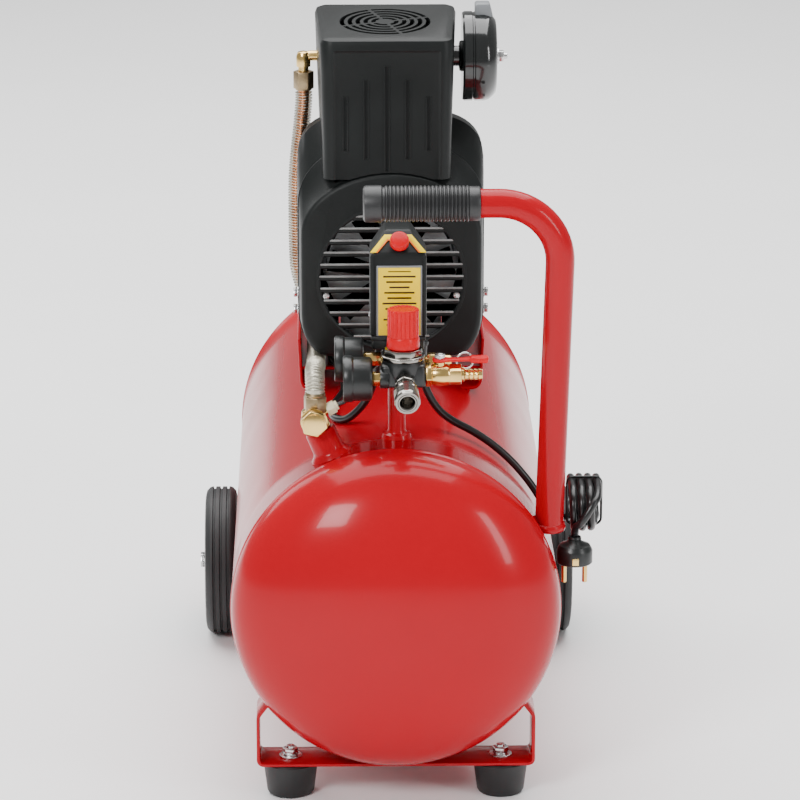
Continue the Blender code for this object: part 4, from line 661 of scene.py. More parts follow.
# ---------------------------------------------------------------- cords
def build_cords():
    """The mains cord from the switch to its tied hank and plug, and the cable to the motor."""
    sizes = bpy.context.scene.compressor_sizes
    hank_low, hank_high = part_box("cord_hank")
    plug_low, plug_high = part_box("plug")
    thick = sizes.cord_diameter
    exit_point = Vector((0.0245, -0.2255, BLOCK_TOP - GAP))
    route = [
        exit_point,
        (0.0245, -0.2255, 0.404),
        (0.0255, -0.2250, 0.385),
        (0.0310, -0.2250, 0.366),
        (0.0410, -0.2230, 0.3495),
        (0.0540, -0.2190, 0.3378),
        (0.0720, -0.2170, 0.3272),
        (0.0900, -0.2180, 0.3150),
        (0.1080, -0.2200, 0.2990),
        (0.1240, -0.2215, 0.2800),
        (0.1365, -0.2260, 0.2620),
        (0.1470, -0.2300, 0.2510),
        (0.1555, -0.2300, 0.2475),
    ]
    turns, steps = 4, 14
    middle_z = (hank_low.z + hank_high.z) / 2
    radius = (hank_high.z - hank_low.z - thick) / 2
    front_y, back_y = hank_low.y + radius + thick / 2, hank_high.y - radius - thick / 2
    first_x = hank_low.x + thick / 2
    pitch = (hank_high.x - hank_low.x - thick) / (turns - 1)
    for turn in range(turns):
        x = first_x + pitch * turn
        last = turn == turns - 1
        for step in range(steps // 2 + 1):
            angle = math.pi * step / (steps // 2)
            route.append((x, back_y + radius * math.sin(angle), middle_z - radius * math.cos(angle)))
        if last:
            break
        for step in range(steps // 2 + 1):
            angle = math.pi * step / (steps // 2)
            drift = pitch * max(0.0, (step - steps // 4) / (steps - steps // 4)) if step else 0
            route.append(
                (x + drift * 0.6, front_y - radius * math.sin(angle), middle_z + radius * math.cos(angle))
            )
    outer_x = first_x + pitch * (turns - 1)
    plug_x, plug_y = (plug_low.x + plug_high.x) / 2, (plug_low.y + plug_high.y) / 2
    lead_y = hank_low.y - thick * 0.62
    route += [
        (outer_x, front_y + 0.004, middle_z + radius),
        (outer_x - 0.002, front_y - 0.018, middle_z + radius - 0.004),
        (outer_x - 0.006, lead_y + 0.002, middle_z + 0.010),
        (plug_x + 0.006, lead_y - 0.001, middle_z - 0.006),
        (plug_x + 0.001, (lead_y + plug_y) / 2, plug_high.z + 0.011),
        (plug_x, plug_y, plug_high.z + 0.0002),
    ]
    points = smooth_route(route, 0.006)
    cord = curve_along("mains_cord", points, thick / 2, 4)
    cord.data.splines[0].use_smooth = True
    cord.data.materials.append(FINISH["cable"])
    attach(cord, "chassis")
    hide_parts("power_cord", "cord_hank")

    plug = build_plug(plug_x, plug_y, plug_low, plug_high)
    relief = turned(
        "cord_relief",
        [(0.0038, 0), (0.0066, 0), (0.0066, -0.003), (0.0056, -0.004), (0.0046, -0.022), (0.0038, -0.022)],
        exit_point, steps=24, ring=True, bevel=0.0004,
    )
    dress(relief, "rubber")
    tie_y = (front_y + back_y) / 2 + 0.004
    half_x, half_z = (hank_high.x - hank_low.x) / 2 + 0.0006, (hank_high.z - hank_low.z) / 2 + 0.0008
    middle_x = (hank_low.x + hank_high.x) / 2
    band = [
        (middle_x + sx * half_x, tie_y, middle_z + sz * half_z)
        for sx, sz in ((-1, -1), (1, -1), (1, 1), (-1, 1))
    ]
    loop = rounded(
        [
            ((band[3][0] + band[0][0]) / 2, tie_y, middle_z), *band,
            ((band[3][0] + band[0][0]) / 2, tie_y, middle_z),
        ],
        0.006, 5,
    )[:-1]
    tie = tube("hank_tie", loop, 0.0012, 2, closed=True)
    dress(tie, "black")
    motor_route = [
        (-0.014, -0.2205, BLOCK_TOP - GAP),
        (-0.014, -0.2205, BLOCK_TOP - 0.0123),
        (-0.017, -0.2155, TOP + 0.045),
        (-0.026, -0.2055, TOP + 0.018),
        on_tank(math.radians(-16), 0.0048, -0.1975),
        on_tank(math.radians(-21), 0.0048, -0.1775),
        on_tank(math.radians(-21), 0.0048, -0.1405),
        on_tank(math.radians(-17), 0.0048, -0.0955),
        (-0.050, -0.0605, TOP + 0.008),
        (-0.0565, -0.0305, TOP + 0.009),
        (-0.058, 0.0245, TOP + 0.010),
        (-0.055, 0.0525, TOP + 0.022),
        (-0.0525, 0.0605, TOP + 0.0345),
    ]
    cable = tube("motor_cable_sheath", smooth_route(motor_route, 0.004), thick / 2, 4)
    dress(cable, "cable", replaces=["motor_cable"], smooth=60)


def build_plug(x, y, low, high):
    """Round two-pin plug with a ribbed neck, flat grip sides and an earth clip."""
    top, face = high.z, low.z + 0.019
    profile = [
        (0.0038, top), (0.0056, top), (0.0062, top - 0.002), (0.0058, top - 0.003), (0.0072, top - 0.005),
        (0.0140, top - 0.008), (0.0158, top - 0.011), (0.0165, top - 0.013), (0.0165, face + 0.001),
        (0.0155, face), (0, face),
    ]
    plug = turned("mains_plug", [(0, top), *profile], (x, y, 0), steps=40)
    dress(plug, "black", replaces=["plug"])
    pins = []
    for side in (-1, 1):
        pins.append(
            prism(f"pin_{side}", 20, 0.0024, low.z, face + 0.002, (x + side * 0.0095, y, 0), bevel=0.0009)
        )
    clip = block(
        "earth_clip", (x - 0.0030, y - 0.0172, face + 0.002), (x + 0.0030, y - 0.0160, face + 0.0085),
        0.0004,
    )
    metal = merge(*pins, clip)
    dress(metal, "brass")
    return plug


# ---------------------------------------------------------------- tank and supports
def build_tank():
    """The tank's turned skin with its weld beads, the two sockets on it, and the drain under it."""
    sizes = bpy.context.scene.compressor_sizes
    bead, steps, half = sizes.seam_bead, 18, REAR
    dome = [
        (TANK_RADIUS * math.sin(a), DOME * math.cos(a))
        for a in (math.pi / 2 * i / steps for i in range(steps))
    ]
    profile = [(r, -half - h) for r, h in dome]
    profile += [
        (TANK_RADIUS, -half), (TANK_RADIUS, -half + 0.0015), (TANK_RADIUS + bead, -half + 0.0028),
        (TANK_RADIUS + bead, -half + 0.0062), (TANK_RADIUS, -half + 0.0075),
    ]
    profile += [(TANK_RADIUS, y * 0.1 * half) for y in (-8, -4, 0, 4, 8)]
    profile += [(r, -y) for r, y in reversed(profile[: steps + 5])]
    tank = turned("tank_skin", profile, (0, 0, TANK_AXIS), ALONG, steps=160)
    dress(
        tank, "enamel", replaces=["tank_barrel", "tank_front_head", "tank_rear_head"],
        smooth=40,
    )
    socket_foot = on_tank(PORT_LEAN, 0.0, FRONT + PORT_FROM_SEAM)
    away = (socket_foot - Vector((0, socket_foot.y, TANK_AXIS))).normalized()
    socket = turned(
        "check_valve_socket",
        [
            (0.0070, -0.004), (0.0205, -0.004), (0.0185, 0.0005), (0.0158, 0.0030), (0.0142, 0.0060),
            (0.0140, 0.0236), (0.0130, 0.0250), (0.0070, 0.0250),
        ],
        socket_foot, away, steps=40, ring=True,
    )
    dress(socket, "enamel", replaces=["valve_socket"], smooth=40)
    post_low, post_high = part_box("switch_post")
    post_x, post_y = (post_low.x + post_high.x) / 2, (post_low.y + post_high.y) / 2
    post = turned(
        "stand_pipe",
        [
            (0.0045, TOP - 0.003), (0.0145, TOP - 0.003), (0.0135, TOP + 0.0005), (0.0125, TOP + 0.0035),
            (0.0092, TOP + 0.0048), (0.0080, TOP + 0.0075), (0.0080, post_high.z), (0.0045, post_high.z),
        ],
        (post_x, post_y, 0), steps=36, ring=True,
    )
    dress(post, "enamel", replaces=["switch_post"], smooth=40)
    valve_low, valve_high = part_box("drain_valve")
    drain = turned(
        "drain_body",
        [
            (0, valve_high.z + 0.004), (0.0055, valve_high.z + 0.004), (0.0055, valve_low.z + 0.0105),
            (0.0065, valve_low.z + 0.009), (0.0060, valve_low.z), (0, valve_low.z),
        ],
        steps=28, bevel=0.0004,
    )
    drain = merge(
        drain, prism("drain_hex", 6, 0.0092, valve_high.z - 0.009, valve_high.z),
        turned(
            "drain_spout", [(0.0015, 0), (0.0030, 0), (0.0030, valve_high.y), (0.0015, valve_high.y)],
            (0, 0, valve_high.z - 0.0135), ALONG, 20, ring=True,
        ),
    )
    dress(drain, "brass", replaces=["drain_valve"])
    wing_low, wing_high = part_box("drain_wing")
    wing = turned(
        "drain_screw",
        [
            (0, wing_high.z), (0.0055, wing_high.z), (0.0055, wing_high.z - 0.009),
            (0.0040, wing_high.z - 0.010), (0, wing_high.z - 0.010),
        ],
        steps=24, bevel=0.0004,
    )
    outline = [
        (-0.014, wing_low.z + 0.001), (-0.0105, wing_low.z), (0.0105, wing_low.z),
        (0.014, wing_low.z + 0.001), (0.014, wing_high.z - 0.0035), (0.009, wing_high.z - 0.002),
        (-0.009, wing_high.z - 0.002), (-0.014, wing_high.z - 0.0035),
    ]
    blade = slab("drain_blade", [(x, -0.0013, z) for x, z in outline], (0, 0.0026, 0), 0.0006)
    dress(merge(wing, blade), "brass", "drain_wing", ["drain_wing"])


def strap_path(half_span, knee):
    """A strap's (x, z) path: level under the tank, up at each side and in to the skin."""
    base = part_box("foot_strap")[0].z + SHEET / 2
    corner = [
        (0, 0, base), (half_span, 0, base), (half_span, 0, knee), (half_span - 0.0190, 0, knee + 0.0253),
    ]
    half = rounded(corner, 0.005, 5)
    return [(-p.x, p.z) for p in reversed(half[1:])] + [(p.x, p.z) for p in half]


def build_supports():
    """Foot strap, rubber feet and their bolts."""
    low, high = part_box("foot_strap")
    strap = bent_sheet("foot_bracket", strap_path(high.x - SHEET / 2, 0.0805), low.y, high.y, SHEET)
    dress(strap, "enamel", replaces=["foot_strap"], smooth=40)
    for word in ("left", "right"):
        foot_low, foot_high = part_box(f"foot_{word}")
        x, y = (foot_low.x + foot_high.x) / 2, (foot_low.y + foot_high.y) / 2
        top = foot_high.z
        foot = turned(
            f"rubber_foot_{word}",
            [
                (0, top), (0.0235, top), (0.0250, top - 0.0015), (0.0249, top - 0.004), (0.0218, 0.003),
                (0.0205, 0.0006), (0.0180, 0), (0, 0),
            ],
            (x, y, 0), steps=56,
        )
        dress(foot, "rubber", replaces=[f"foot_{word}"], smooth=45)
        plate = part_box("foot_strap")[0].z + SHEET
        washer = turned(
            f"foot_washer_{word}",
            [(0.0042, plate), (0.0105, plate), (0.0105, plate + 0.0014), (0.0042, plate + 0.0016)],
            (x, y, 0), steps=36, ring=True, bevel=0.0003,
        )
        spring = turned(
            f"foot_spring_{word}",
            [
                (0.0042, plate + 0.0014), (0.0072, plate + 0.0014), (0.0072, plate + 0.0030),
                (0.0042, plate + 0.0032),
            ],
            (x, y, 0), steps=30, ring=True, bevel=0.0003,
        )
        nut = prism(
            f"foot_nut_{word}", 6, 0.0076, plate + 0.0030, plate + 0.0080, (x, y, 0), bevel=0.0007,
            start=0.3,
        )
        shank = prism(
            f"foot_shank_{word}", 24, 0.0040, foot_high.z - 0.016, plate + 0.0105, (x, y, 0), bevel=0.0008,
        )
        dress(merge(washer, spring, nut, shank), "steel", replaces=[f"foot_bolt_{word}"])


def build_wheels():
    """Grooved tyres, ribbed hubs and axle bolts, and the strap that holds them."""
    sizes = bpy.context.scene.compressor_sizes
    low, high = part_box("wheel_strap")
    strap = bent_sheet("axle_bracket", strap_path(high.x - SHEET / 2, 0.0985), low.y, high.y, SHEET)
    dress(strap, "enamel", replaces=["wheel_strap"], smooth=40)
    for side, word in ((-1, "left"), (1, "right")):
        body = f"wheel_{word}"
        tyre_low, tyre_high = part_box(f"tyre_{word}")
        middle = (tyre_low + tyre_high) / 2
        radius, half = tyre_high.z - middle.z, (tyre_high.x - tyre_low.x) / 2
        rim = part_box(f"wheel_hub_{word}")[1].z - middle.z
        shoulder = radius - 0.0042
        profile = [
            (rim, half - 0.0015), (rim + 0.003, half - 0.0005), (rim + 0.010, half - 0.001),
            (shoulder - 0.005, half), (shoulder, half - 0.0012), (radius - 0.0008, half - 0.0045),
            (radius, half - 0.0068),
        ]
        pitch = 0.0068
        for index in range(sizes.tread_grooves):
            centre = pitch * ((sizes.tread_grooves - 1) / 2 - index)
            for offset, depth in ((0.0014, 0), (0.0009, 0.0024), (-0.0009, 0.0024), (-0.0014, 0)):
                profile.append((radius - depth, centre + offset))
        profile += [(r, -h) for r, h in reversed(profile[:7])]
        tyre = turned(f"tyre_tread_{word}", profile, middle, (side, 0, 0), 96, ring=True)
        dress(tyre, "tyre", body, [f"tyre_{word}"], 28)
        boss_out, boss_in = half, half + 0.006
        hub = turned(
            f"hub_{word}",
            [
                (rim, half - 0.002), (rim, 0.002 - half), (rim - 0.005, 0.002 - half),
                (rim - 0.0065, -0.004), (0.0150, -0.0035), (0.0138, -boss_in),
                (0.0054, -boss_in), (0.0054, boss_out), (0.0138, boss_out), (0.0150, 0.0035),
                (rim - 0.0065, 0.004), (rim - 0.005, half - 0.002),
            ],
            steps=72, ring=True, bevel=0.0006,
        )
        ribs = []
        for index in range(sizes.hub_ribs):
            for face in (-1, 1):
                rib = block(
                    f"rib_{index}_{face}", (0.0145, -0.0013, min(0, face * 0.011)),
                    (rim - 0.0055, 0.0013, max(0, face * 0.011)), 0.0005, 1,
                )
                ribs.append(seat_turned(rib, 2 * math.pi * index / sizes.hub_ribs))
        hub = seat(merge(hub, *ribs), middle, (side, 0, 0))
        dress(hub, "black", body, [f"wheel_hub_{word}"])
        bolt_low, bolt_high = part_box(f"axle_bolt_{word}")
        end = max(abs(bolt_low.x), abs(bolt_high.x)) - abs(middle.x)
        start = min(abs(bolt_low.x), abs(bolt_high.x)) - abs(middle.x)
        washer = turned(
            f"axle_washer_{word}",
            [
                (0.0052, half + 0.0003), (0.0112, half + 0.0003), (0.0112, half + 0.0018),
                (0.0052, half + 0.0018),
            ],
            steps=40, ring=True, bevel=0.0003,
        )
        head = prism(f"axle_head_{word}", 6, 0.0080, half + 0.0018, end, bevel=0.0007, dome=-0.0006)
        shank = prism(f"axle_shank_{word}", 32, 0.0050, start + 0.001, half + 0.003, bevel=0.0006)
        nut = prism(f"axle_nut_{word}", 6, 0.0088, start + 0.0012, start + 0.0080, bevel=0.0007)
        bolt = seat(merge(washer, head, shank, nut), middle, (side, 0, 0))
        dress(bolt, "steel", replaces=[f"axle_bolt_{word}"])


def seat_turned(piece, angle):
    """Turns a piece about Z at the origin."""
    return seat(piece, (0, 0, 0), UP, angle)


def build_handle():
    """Bent handle tube with its weld, and the ringed rubber grip."""
    sizes = bpy.context.scene.compressor_sizes
    grip_low, grip_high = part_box("handle_grip")
    y, z = (grip_low.y + grip_high.y) / 2, (grip_low.z + grip_high.z) / 2
    radius = 0.013
    reach, lift = TANK_RADIUS + 0.0087, math.radians(28)
    foot = Vector((reach * math.cos(lift), y + 0.030, TANK_AXIS + reach * math.sin(lift) - 0.006))
    corner = Vector((foot.x + 0.0075, y, z))
    path = rounded([foot, corner, (grip_low.x + 0.006, y, z)], 0.055, 16)
    handle = tube("handle_bar", path, radius, 10)
    dress(handle, "enamel", replaces=["handle_tube"], smooth=50)
    up = (corner - foot).normalized()
    weld = turned(
        "handle_weld",
        [
            (0.0120, -0.0060), (0.0148, -0.0045), (0.0152, -0.0020), (0.0141, 0.0010), (0.0129, 0.0022),
            (0.0120, 0.0022),
        ],
        foot + up * 0.003, up, steps=40, ring=True,
    )
    dress(weld, "enamel", smooth=60)
    start, end = grip_low.x, grip_high.x
    outer = (grip_high.z - grip_low.z) / 2
    profile = [
        (0, start), (outer - 0.003, start), (outer - 0.0006, start + 0.0012), (outer, start + 0.0030),
        (outer, start + 0.0160), (outer - 0.0016, start + 0.0172),
    ]
    ring_start, ring_end = start + 0.0190, end - 0.010
    step = (ring_end - ring_start) / sizes.grip_rings
    for index in range(sizes.grip_rings):
        at = ring_start + index * step
        profile += [
            (outer - 0.0016, at), (outer - 0.0004, at + step * 0.28), (outer - 0.0004, at + step * 0.62),
            (outer - 0.0016, at + step * 0.9),
        ]
    profile += [
        (outer - 0.0012, ring_end), (outer - 0.0012, end - 0.0015), (outer - 0.0020, end - 0.0004),
        (radius - 0.0003, end), (radius - 0.0003, end - 0.004),
    ]
    grip = turned("ringed_grip", profile, (0, y, z), ACROSS, 64)
    # The grip's lighter rubber colour carries a painted highlight.
    dress(grip, "grip", replaces=["handle_grip"], smooth=40)


# ---------------------------------------------------------------- tank fittings
def build_check_valve():
    """Check valve with its cap, nut and unloader, and the discharge pipe from it to the head."""
    sizes = bpy.context.scene.compressor_sizes
    y = FRONT + PORT_FROM_SEAM
    foot = on_tank(PORT_LEAN, 0.0253, y)
    away = (foot - Vector((0, y, TANK_AXIS))).normalized()
    middle = on_tank(PORT_LEAN, 0.038, y)
    body = turned(
        "valve_body",
        [
            (0, 0), (0.0100, 0), (0.0112, 0.0015), (0.0112, 0.006), (0.0098, 0.008), (0.0104, 0.018),
            (0.0080, 0.0225), (0, 0.0238),
        ],
        foot, away, 36, bevel=0.0004,
    )
    cap_neck = round_bar("cap_neck", 0.0088, 0, 0.0160, middle, (0, -1, 0), 32, bevel=0.0004)
    cap_flange = turned(
        "cap_flange", [(0.0, 0.0135), (0.0118, 0.0135), (0.0122, 0.0150), (0.0, 0.0160)], middle,
        (0, -1, 0), 32,
    )
    cap = prism("valve_cap", 6, 0.0126, 0.0150, 0.0240, middle, (0, -1, 0), bevel=0.0009, start=0.25)
    crown = turned(
        "cap_crown", [(0, 0.0235), (0.0098, 0.0235), (0.0094, 0.0250), (0.0060, 0.0258), (0, 0.0258)],
        middle, (0, -1, 0), 32,
    )
    dress(merge(body, cap_neck, cap_flange, cap, crown), "brass", replaces=["check_valve"])
    nut_top = middle + Vector((0.001, 0, 0.020))
    nut = prism("pipe_nut", 6, 0.0108, -0.0150, 0.0, nut_top, bevel=0.0008, start=0.2)
    collar = turned(
        "pipe_collar",
        [(0.0, -0.0005), (0.0088, -0.0005), (0.0094, 0.0015), (0.0088, 0.0035), (0.0, 0.0035)], nut_top, UP,
        32,
    )
    dress(merge(nut, collar), "dull_brass")
    port = Vector((0.88, 0.10, 0.46)).normalized()
    stem = round_bar("unloader_stem", 0.0036, 0.004, 0.0150, middle, port, 20)
    cream_nut = prism("unloader_nut", 6, 0.0064, 0.0132, 0.0215, middle, port, bevel=0.0006)
    sleeve = turned(
        "unloader_sleeve", [(0, 0.021), (0.0044, 0.021), (0.0044, 0.0238), (0.0024, 0.0245), (0, 0.0245)],
        middle, port, 20,
    )
    dress(merge(cream_nut, sleeve), "cream")
    dress(stem, "brass")
    line_route = [
        middle + port * 0.024, middle + port * 0.034, (-0.034, y + 0.012, TOP + 0.052),
        (-0.022, y + 0.028, TOP + 0.060), (-0.0125, y + 0.040, TOP + 0.063),
    ]
    line = tube("unloader_line", smooth_route(line_route, 0.003), 0.0020, 3)
    dress(line, "black", smooth=60)
    elbow_y, elbow_z = build_elbow()
    low = TOP + 0.0137
    side = -(COVER_HIGH.x - 0.0023)
    end_z = elbow_z - 0.032
    start = nut_top + Vector((0, 0, 0.0006))
    route = [
        start, start + Vector((0, 0, 0.004)), start + Vector((0, 0.008, 0.0145)),
        start + Vector((0, 0.026, 0.0175)),
        (-0.072, FRONT + 0.105, TOP + 0.049), (-0.072, FRONT + 0.160, TOP + 0.035),
        (side + 0.0132, FRONT + 0.203, TOP + 0.0190),
        (side + 0.0137, FRONT + 0.230, low), (side + 0.0139, FRONT + 0.306, low),
        (side + 0.0133, FRONT + 0.328, low + 0.005),
        (side + 0.0112, FRONT + 0.341, low + 0.020), (side + 0.0052, FRONT + 0.342, low + 0.040),
        (side - 0.0013, FRONT + 0.341, low + 0.062),
        (side - 0.0038, FRONT + 0.339, CRANK_AXIS), (side - 0.0038, FRONT + 0.337, CRANK_AXIS + 0.075),
        (-0.0845, elbow_y, end_z - 0.035),
        (ELBOW_X, elbow_y, end_z - 0.012), (ELBOW_X, elbow_y, end_z - GAP),
    ]
    pitch = sizes.pipe_pitch
    points = smooth_route(route, pitch / 6)
    turn_up = next(i for i, p in enumerate(points) if p.y > 0.030 and p.z > TOP + 0.035)
    wave = (0.93, 0.99, 1.06, 1.06, 0.99, 0.93)
    lower = points[: turn_up + 1]
    sheath = tube("pipe_sheath", lower, 0.0086, 4, [wave[i % 6] for i in range(len(lower))])
    dress(sheath, "hose", replaces=["discharge_pipe"], smooth=70)
    upper = points[turn_up:]
    core = tube("pipe_core", upper[::6] + [upper[-1]], 0.0052, 4)
    dress(core, "copper", smooth=60)
    fin = (0.5, 0.5, 1.0, 1.0, 0.5, 0.5)
    fins = tube("pipe_fins", upper[:-4], 0.0085, 4, [fin[i % 6] for i in range(len(upper) - 4)])
    dress(fins, "fins", smooth=30)


def build_elbow():
    """Brass elbow and nuts where the pipe leaves the cylinder head."""
    low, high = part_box("discharge_elbow")
    y, z = (low.y + high.y) / 2, high.z - 0.0050
    x = ELBOW_X
    bend = tube("elbow_tube", rounded([(high.x, y, z), (x, y, z), (x, y, z - 0.020)], 0.0075, 8), 0.0050, 6)
    flange = prism("elbow_flange", 6, 0.0080, 0.0005, 0.0080, (high.x, y, z), (-1, 0, 0), bevel=0.0006)
    boss = turned(
        "elbow_boss", [(0, 0.0075), (0.0066, 0.0075), (0.0066, 0.0150), (0.0056, 0.0165), (0, 0.0165)],
        (high.x, y, z), (-1, 0, 0), 28, bevel=0.0003,
    )
    crown = turned(
        "elbow_crown", [(0, -0.0105), (0.0068, -0.0105), (0.0070, -0.001), (0.0056, 0.0035), (0, 0.0050)],
        (x, y, z), UP, 28, bevel=0.0004,
    )
    dress(merge(bend, flange, boss, crown), "brass", replaces=["discharge_elbow"])
    nut = prism("elbow_nut", 6, 0.0100, -0.0320, -0.0150, (x, y, z), UP, bevel=0.0008, start=0.5)
    ring = turned(
        "elbow_ring", [(0, -0.0330), (0.0078, -0.0330), (0.0082, -0.0310), (0, -0.0310)], (x, y, z), UP, 28,
    )
    dress(merge(nut, ring), "dull_brass")
    return y, z


def build_regulator():
    """Manifold block, regulator bowl with its steel ring, and the fluted red knob."""
    low, high = BLOCK_LOW, BLOCK_HIGH
    manifold = block(
        "manifold_block", (low.x, low.y + 0.0045, low.z), (high.x, high.y, BLOCK_TOP - 0.0035), 0.0036,
    )
    x, y = (KNOB_LOW.x + KNOB_HIGH.x) / 2, (KNOB_LOW.y + KNOB_HIGH.y) / 2
    bowl = turned(
        "regulator_bowl",
        [
            (0, low.z + 0.002), (0.0125, low.z + 0.002), (0.0150, low.z + 0.005), (0.0176, low.z + 0.012),
            (0.0192, BLOCK_TOP - 0.007), (0.0192, BLOCK_TOP - 0.001), (0, BLOCK_TOP - 0.001),
        ],
        (x, y, 0), steps=48, bevel=0.0005,
    )
    arm = round_bar(
        "outlet_boss", 0.0094, 0, 0.0120, (0.0085, y - 0.004, low.z + 0.0082), OUTLET_AXIS, 32,
        bevel=0.0008,
    )
    left = round_bar(
        "gauge_boss", 0.0090, 0, 0.0080, (low.x + 0.007, y - 0.0085, low.z + 0.008), (-1, 0, 0), 28,
        bevel=0.0006,
    )
    dress(merge(manifold, bowl, arm, left), "black", replaces=["manifold"])
    ring_low, ring_high = BLOCK_TOP - 0.001, KNOB_LOW.z + 0.0022
    ring = turned(
        "regulator_flange",
        [
            (0, ring_low), (0.0178, ring_low), (0.0196, ring_low + 0.0008), (0.0196, ring_low + 0.0036),
            (0.0186, ring_low + 0.0044), (0, ring_low + 0.0044),
        ],
        (x, y, 0), steps=56, bevel=0.0003,
    )
    nut = prism(
        "regulator_nut", 8, 0.0182, ring_low + 0.0040, ring_high, (x, y, 0), bevel=0.0008, start=0.39,
    )
    dress(merge(ring, nut), "chrome")
    flutes = bpy.context.scene.compressor_sizes.knob_flutes
    radius, base, top = (KNOB_HIGH.x - KNOB_LOW.x) / 2, KNOB_LOW.z + 0.0025, KNOB_HIGH.z
    outline = []
    for index in range(flutes * 6):
        angle = 2 * math.pi * index / (flutes * 6)
        reach = radius - 0.0004 - 0.0011 * (0.5 - 0.5 * math.cos(angle * flutes)) ** 2
        outline.append((reach * math.cos(angle), reach * math.sin(angle), 0))
    knob = slab("knob_flutes", outline, (0, 0, top - base - 0.0125), 0.0)
    only(knob)
    bpy.ops.object.mode_set(mode="EDIT")
    pick(knob, lambda face: face.normal.z > 0.9)
    for rise, scale in ((0.0008, 0.95), (0.0004, 0.88), (-0.0008, 0.90)):
        bpy.ops.mesh.extrude_region_move(TRANSFORM_OT_translate={"value": (0, 0, rise)})
        bpy.ops.transform.resize(value=(scale, scale, 1))
    bpy.ops.object.mode_set(mode="OBJECT")
    seat(knob, (x, y, base + 0.011))
    skirt = turned(
        "knob_skirt",
        [
            (0, base), (radius, base), (radius + 0.0002, base + 0.002), (radius - 0.0002, base + 0.0090),
            (radius - 0.0012, base + 0.0112), (0, base + 0.0120),
        ],
        (x, y, 0), steps=64, bevel=0.0004,
    )
    dress(merge(knob, skirt), "red", "regulator_knob", ["regulator_knob"], 30)


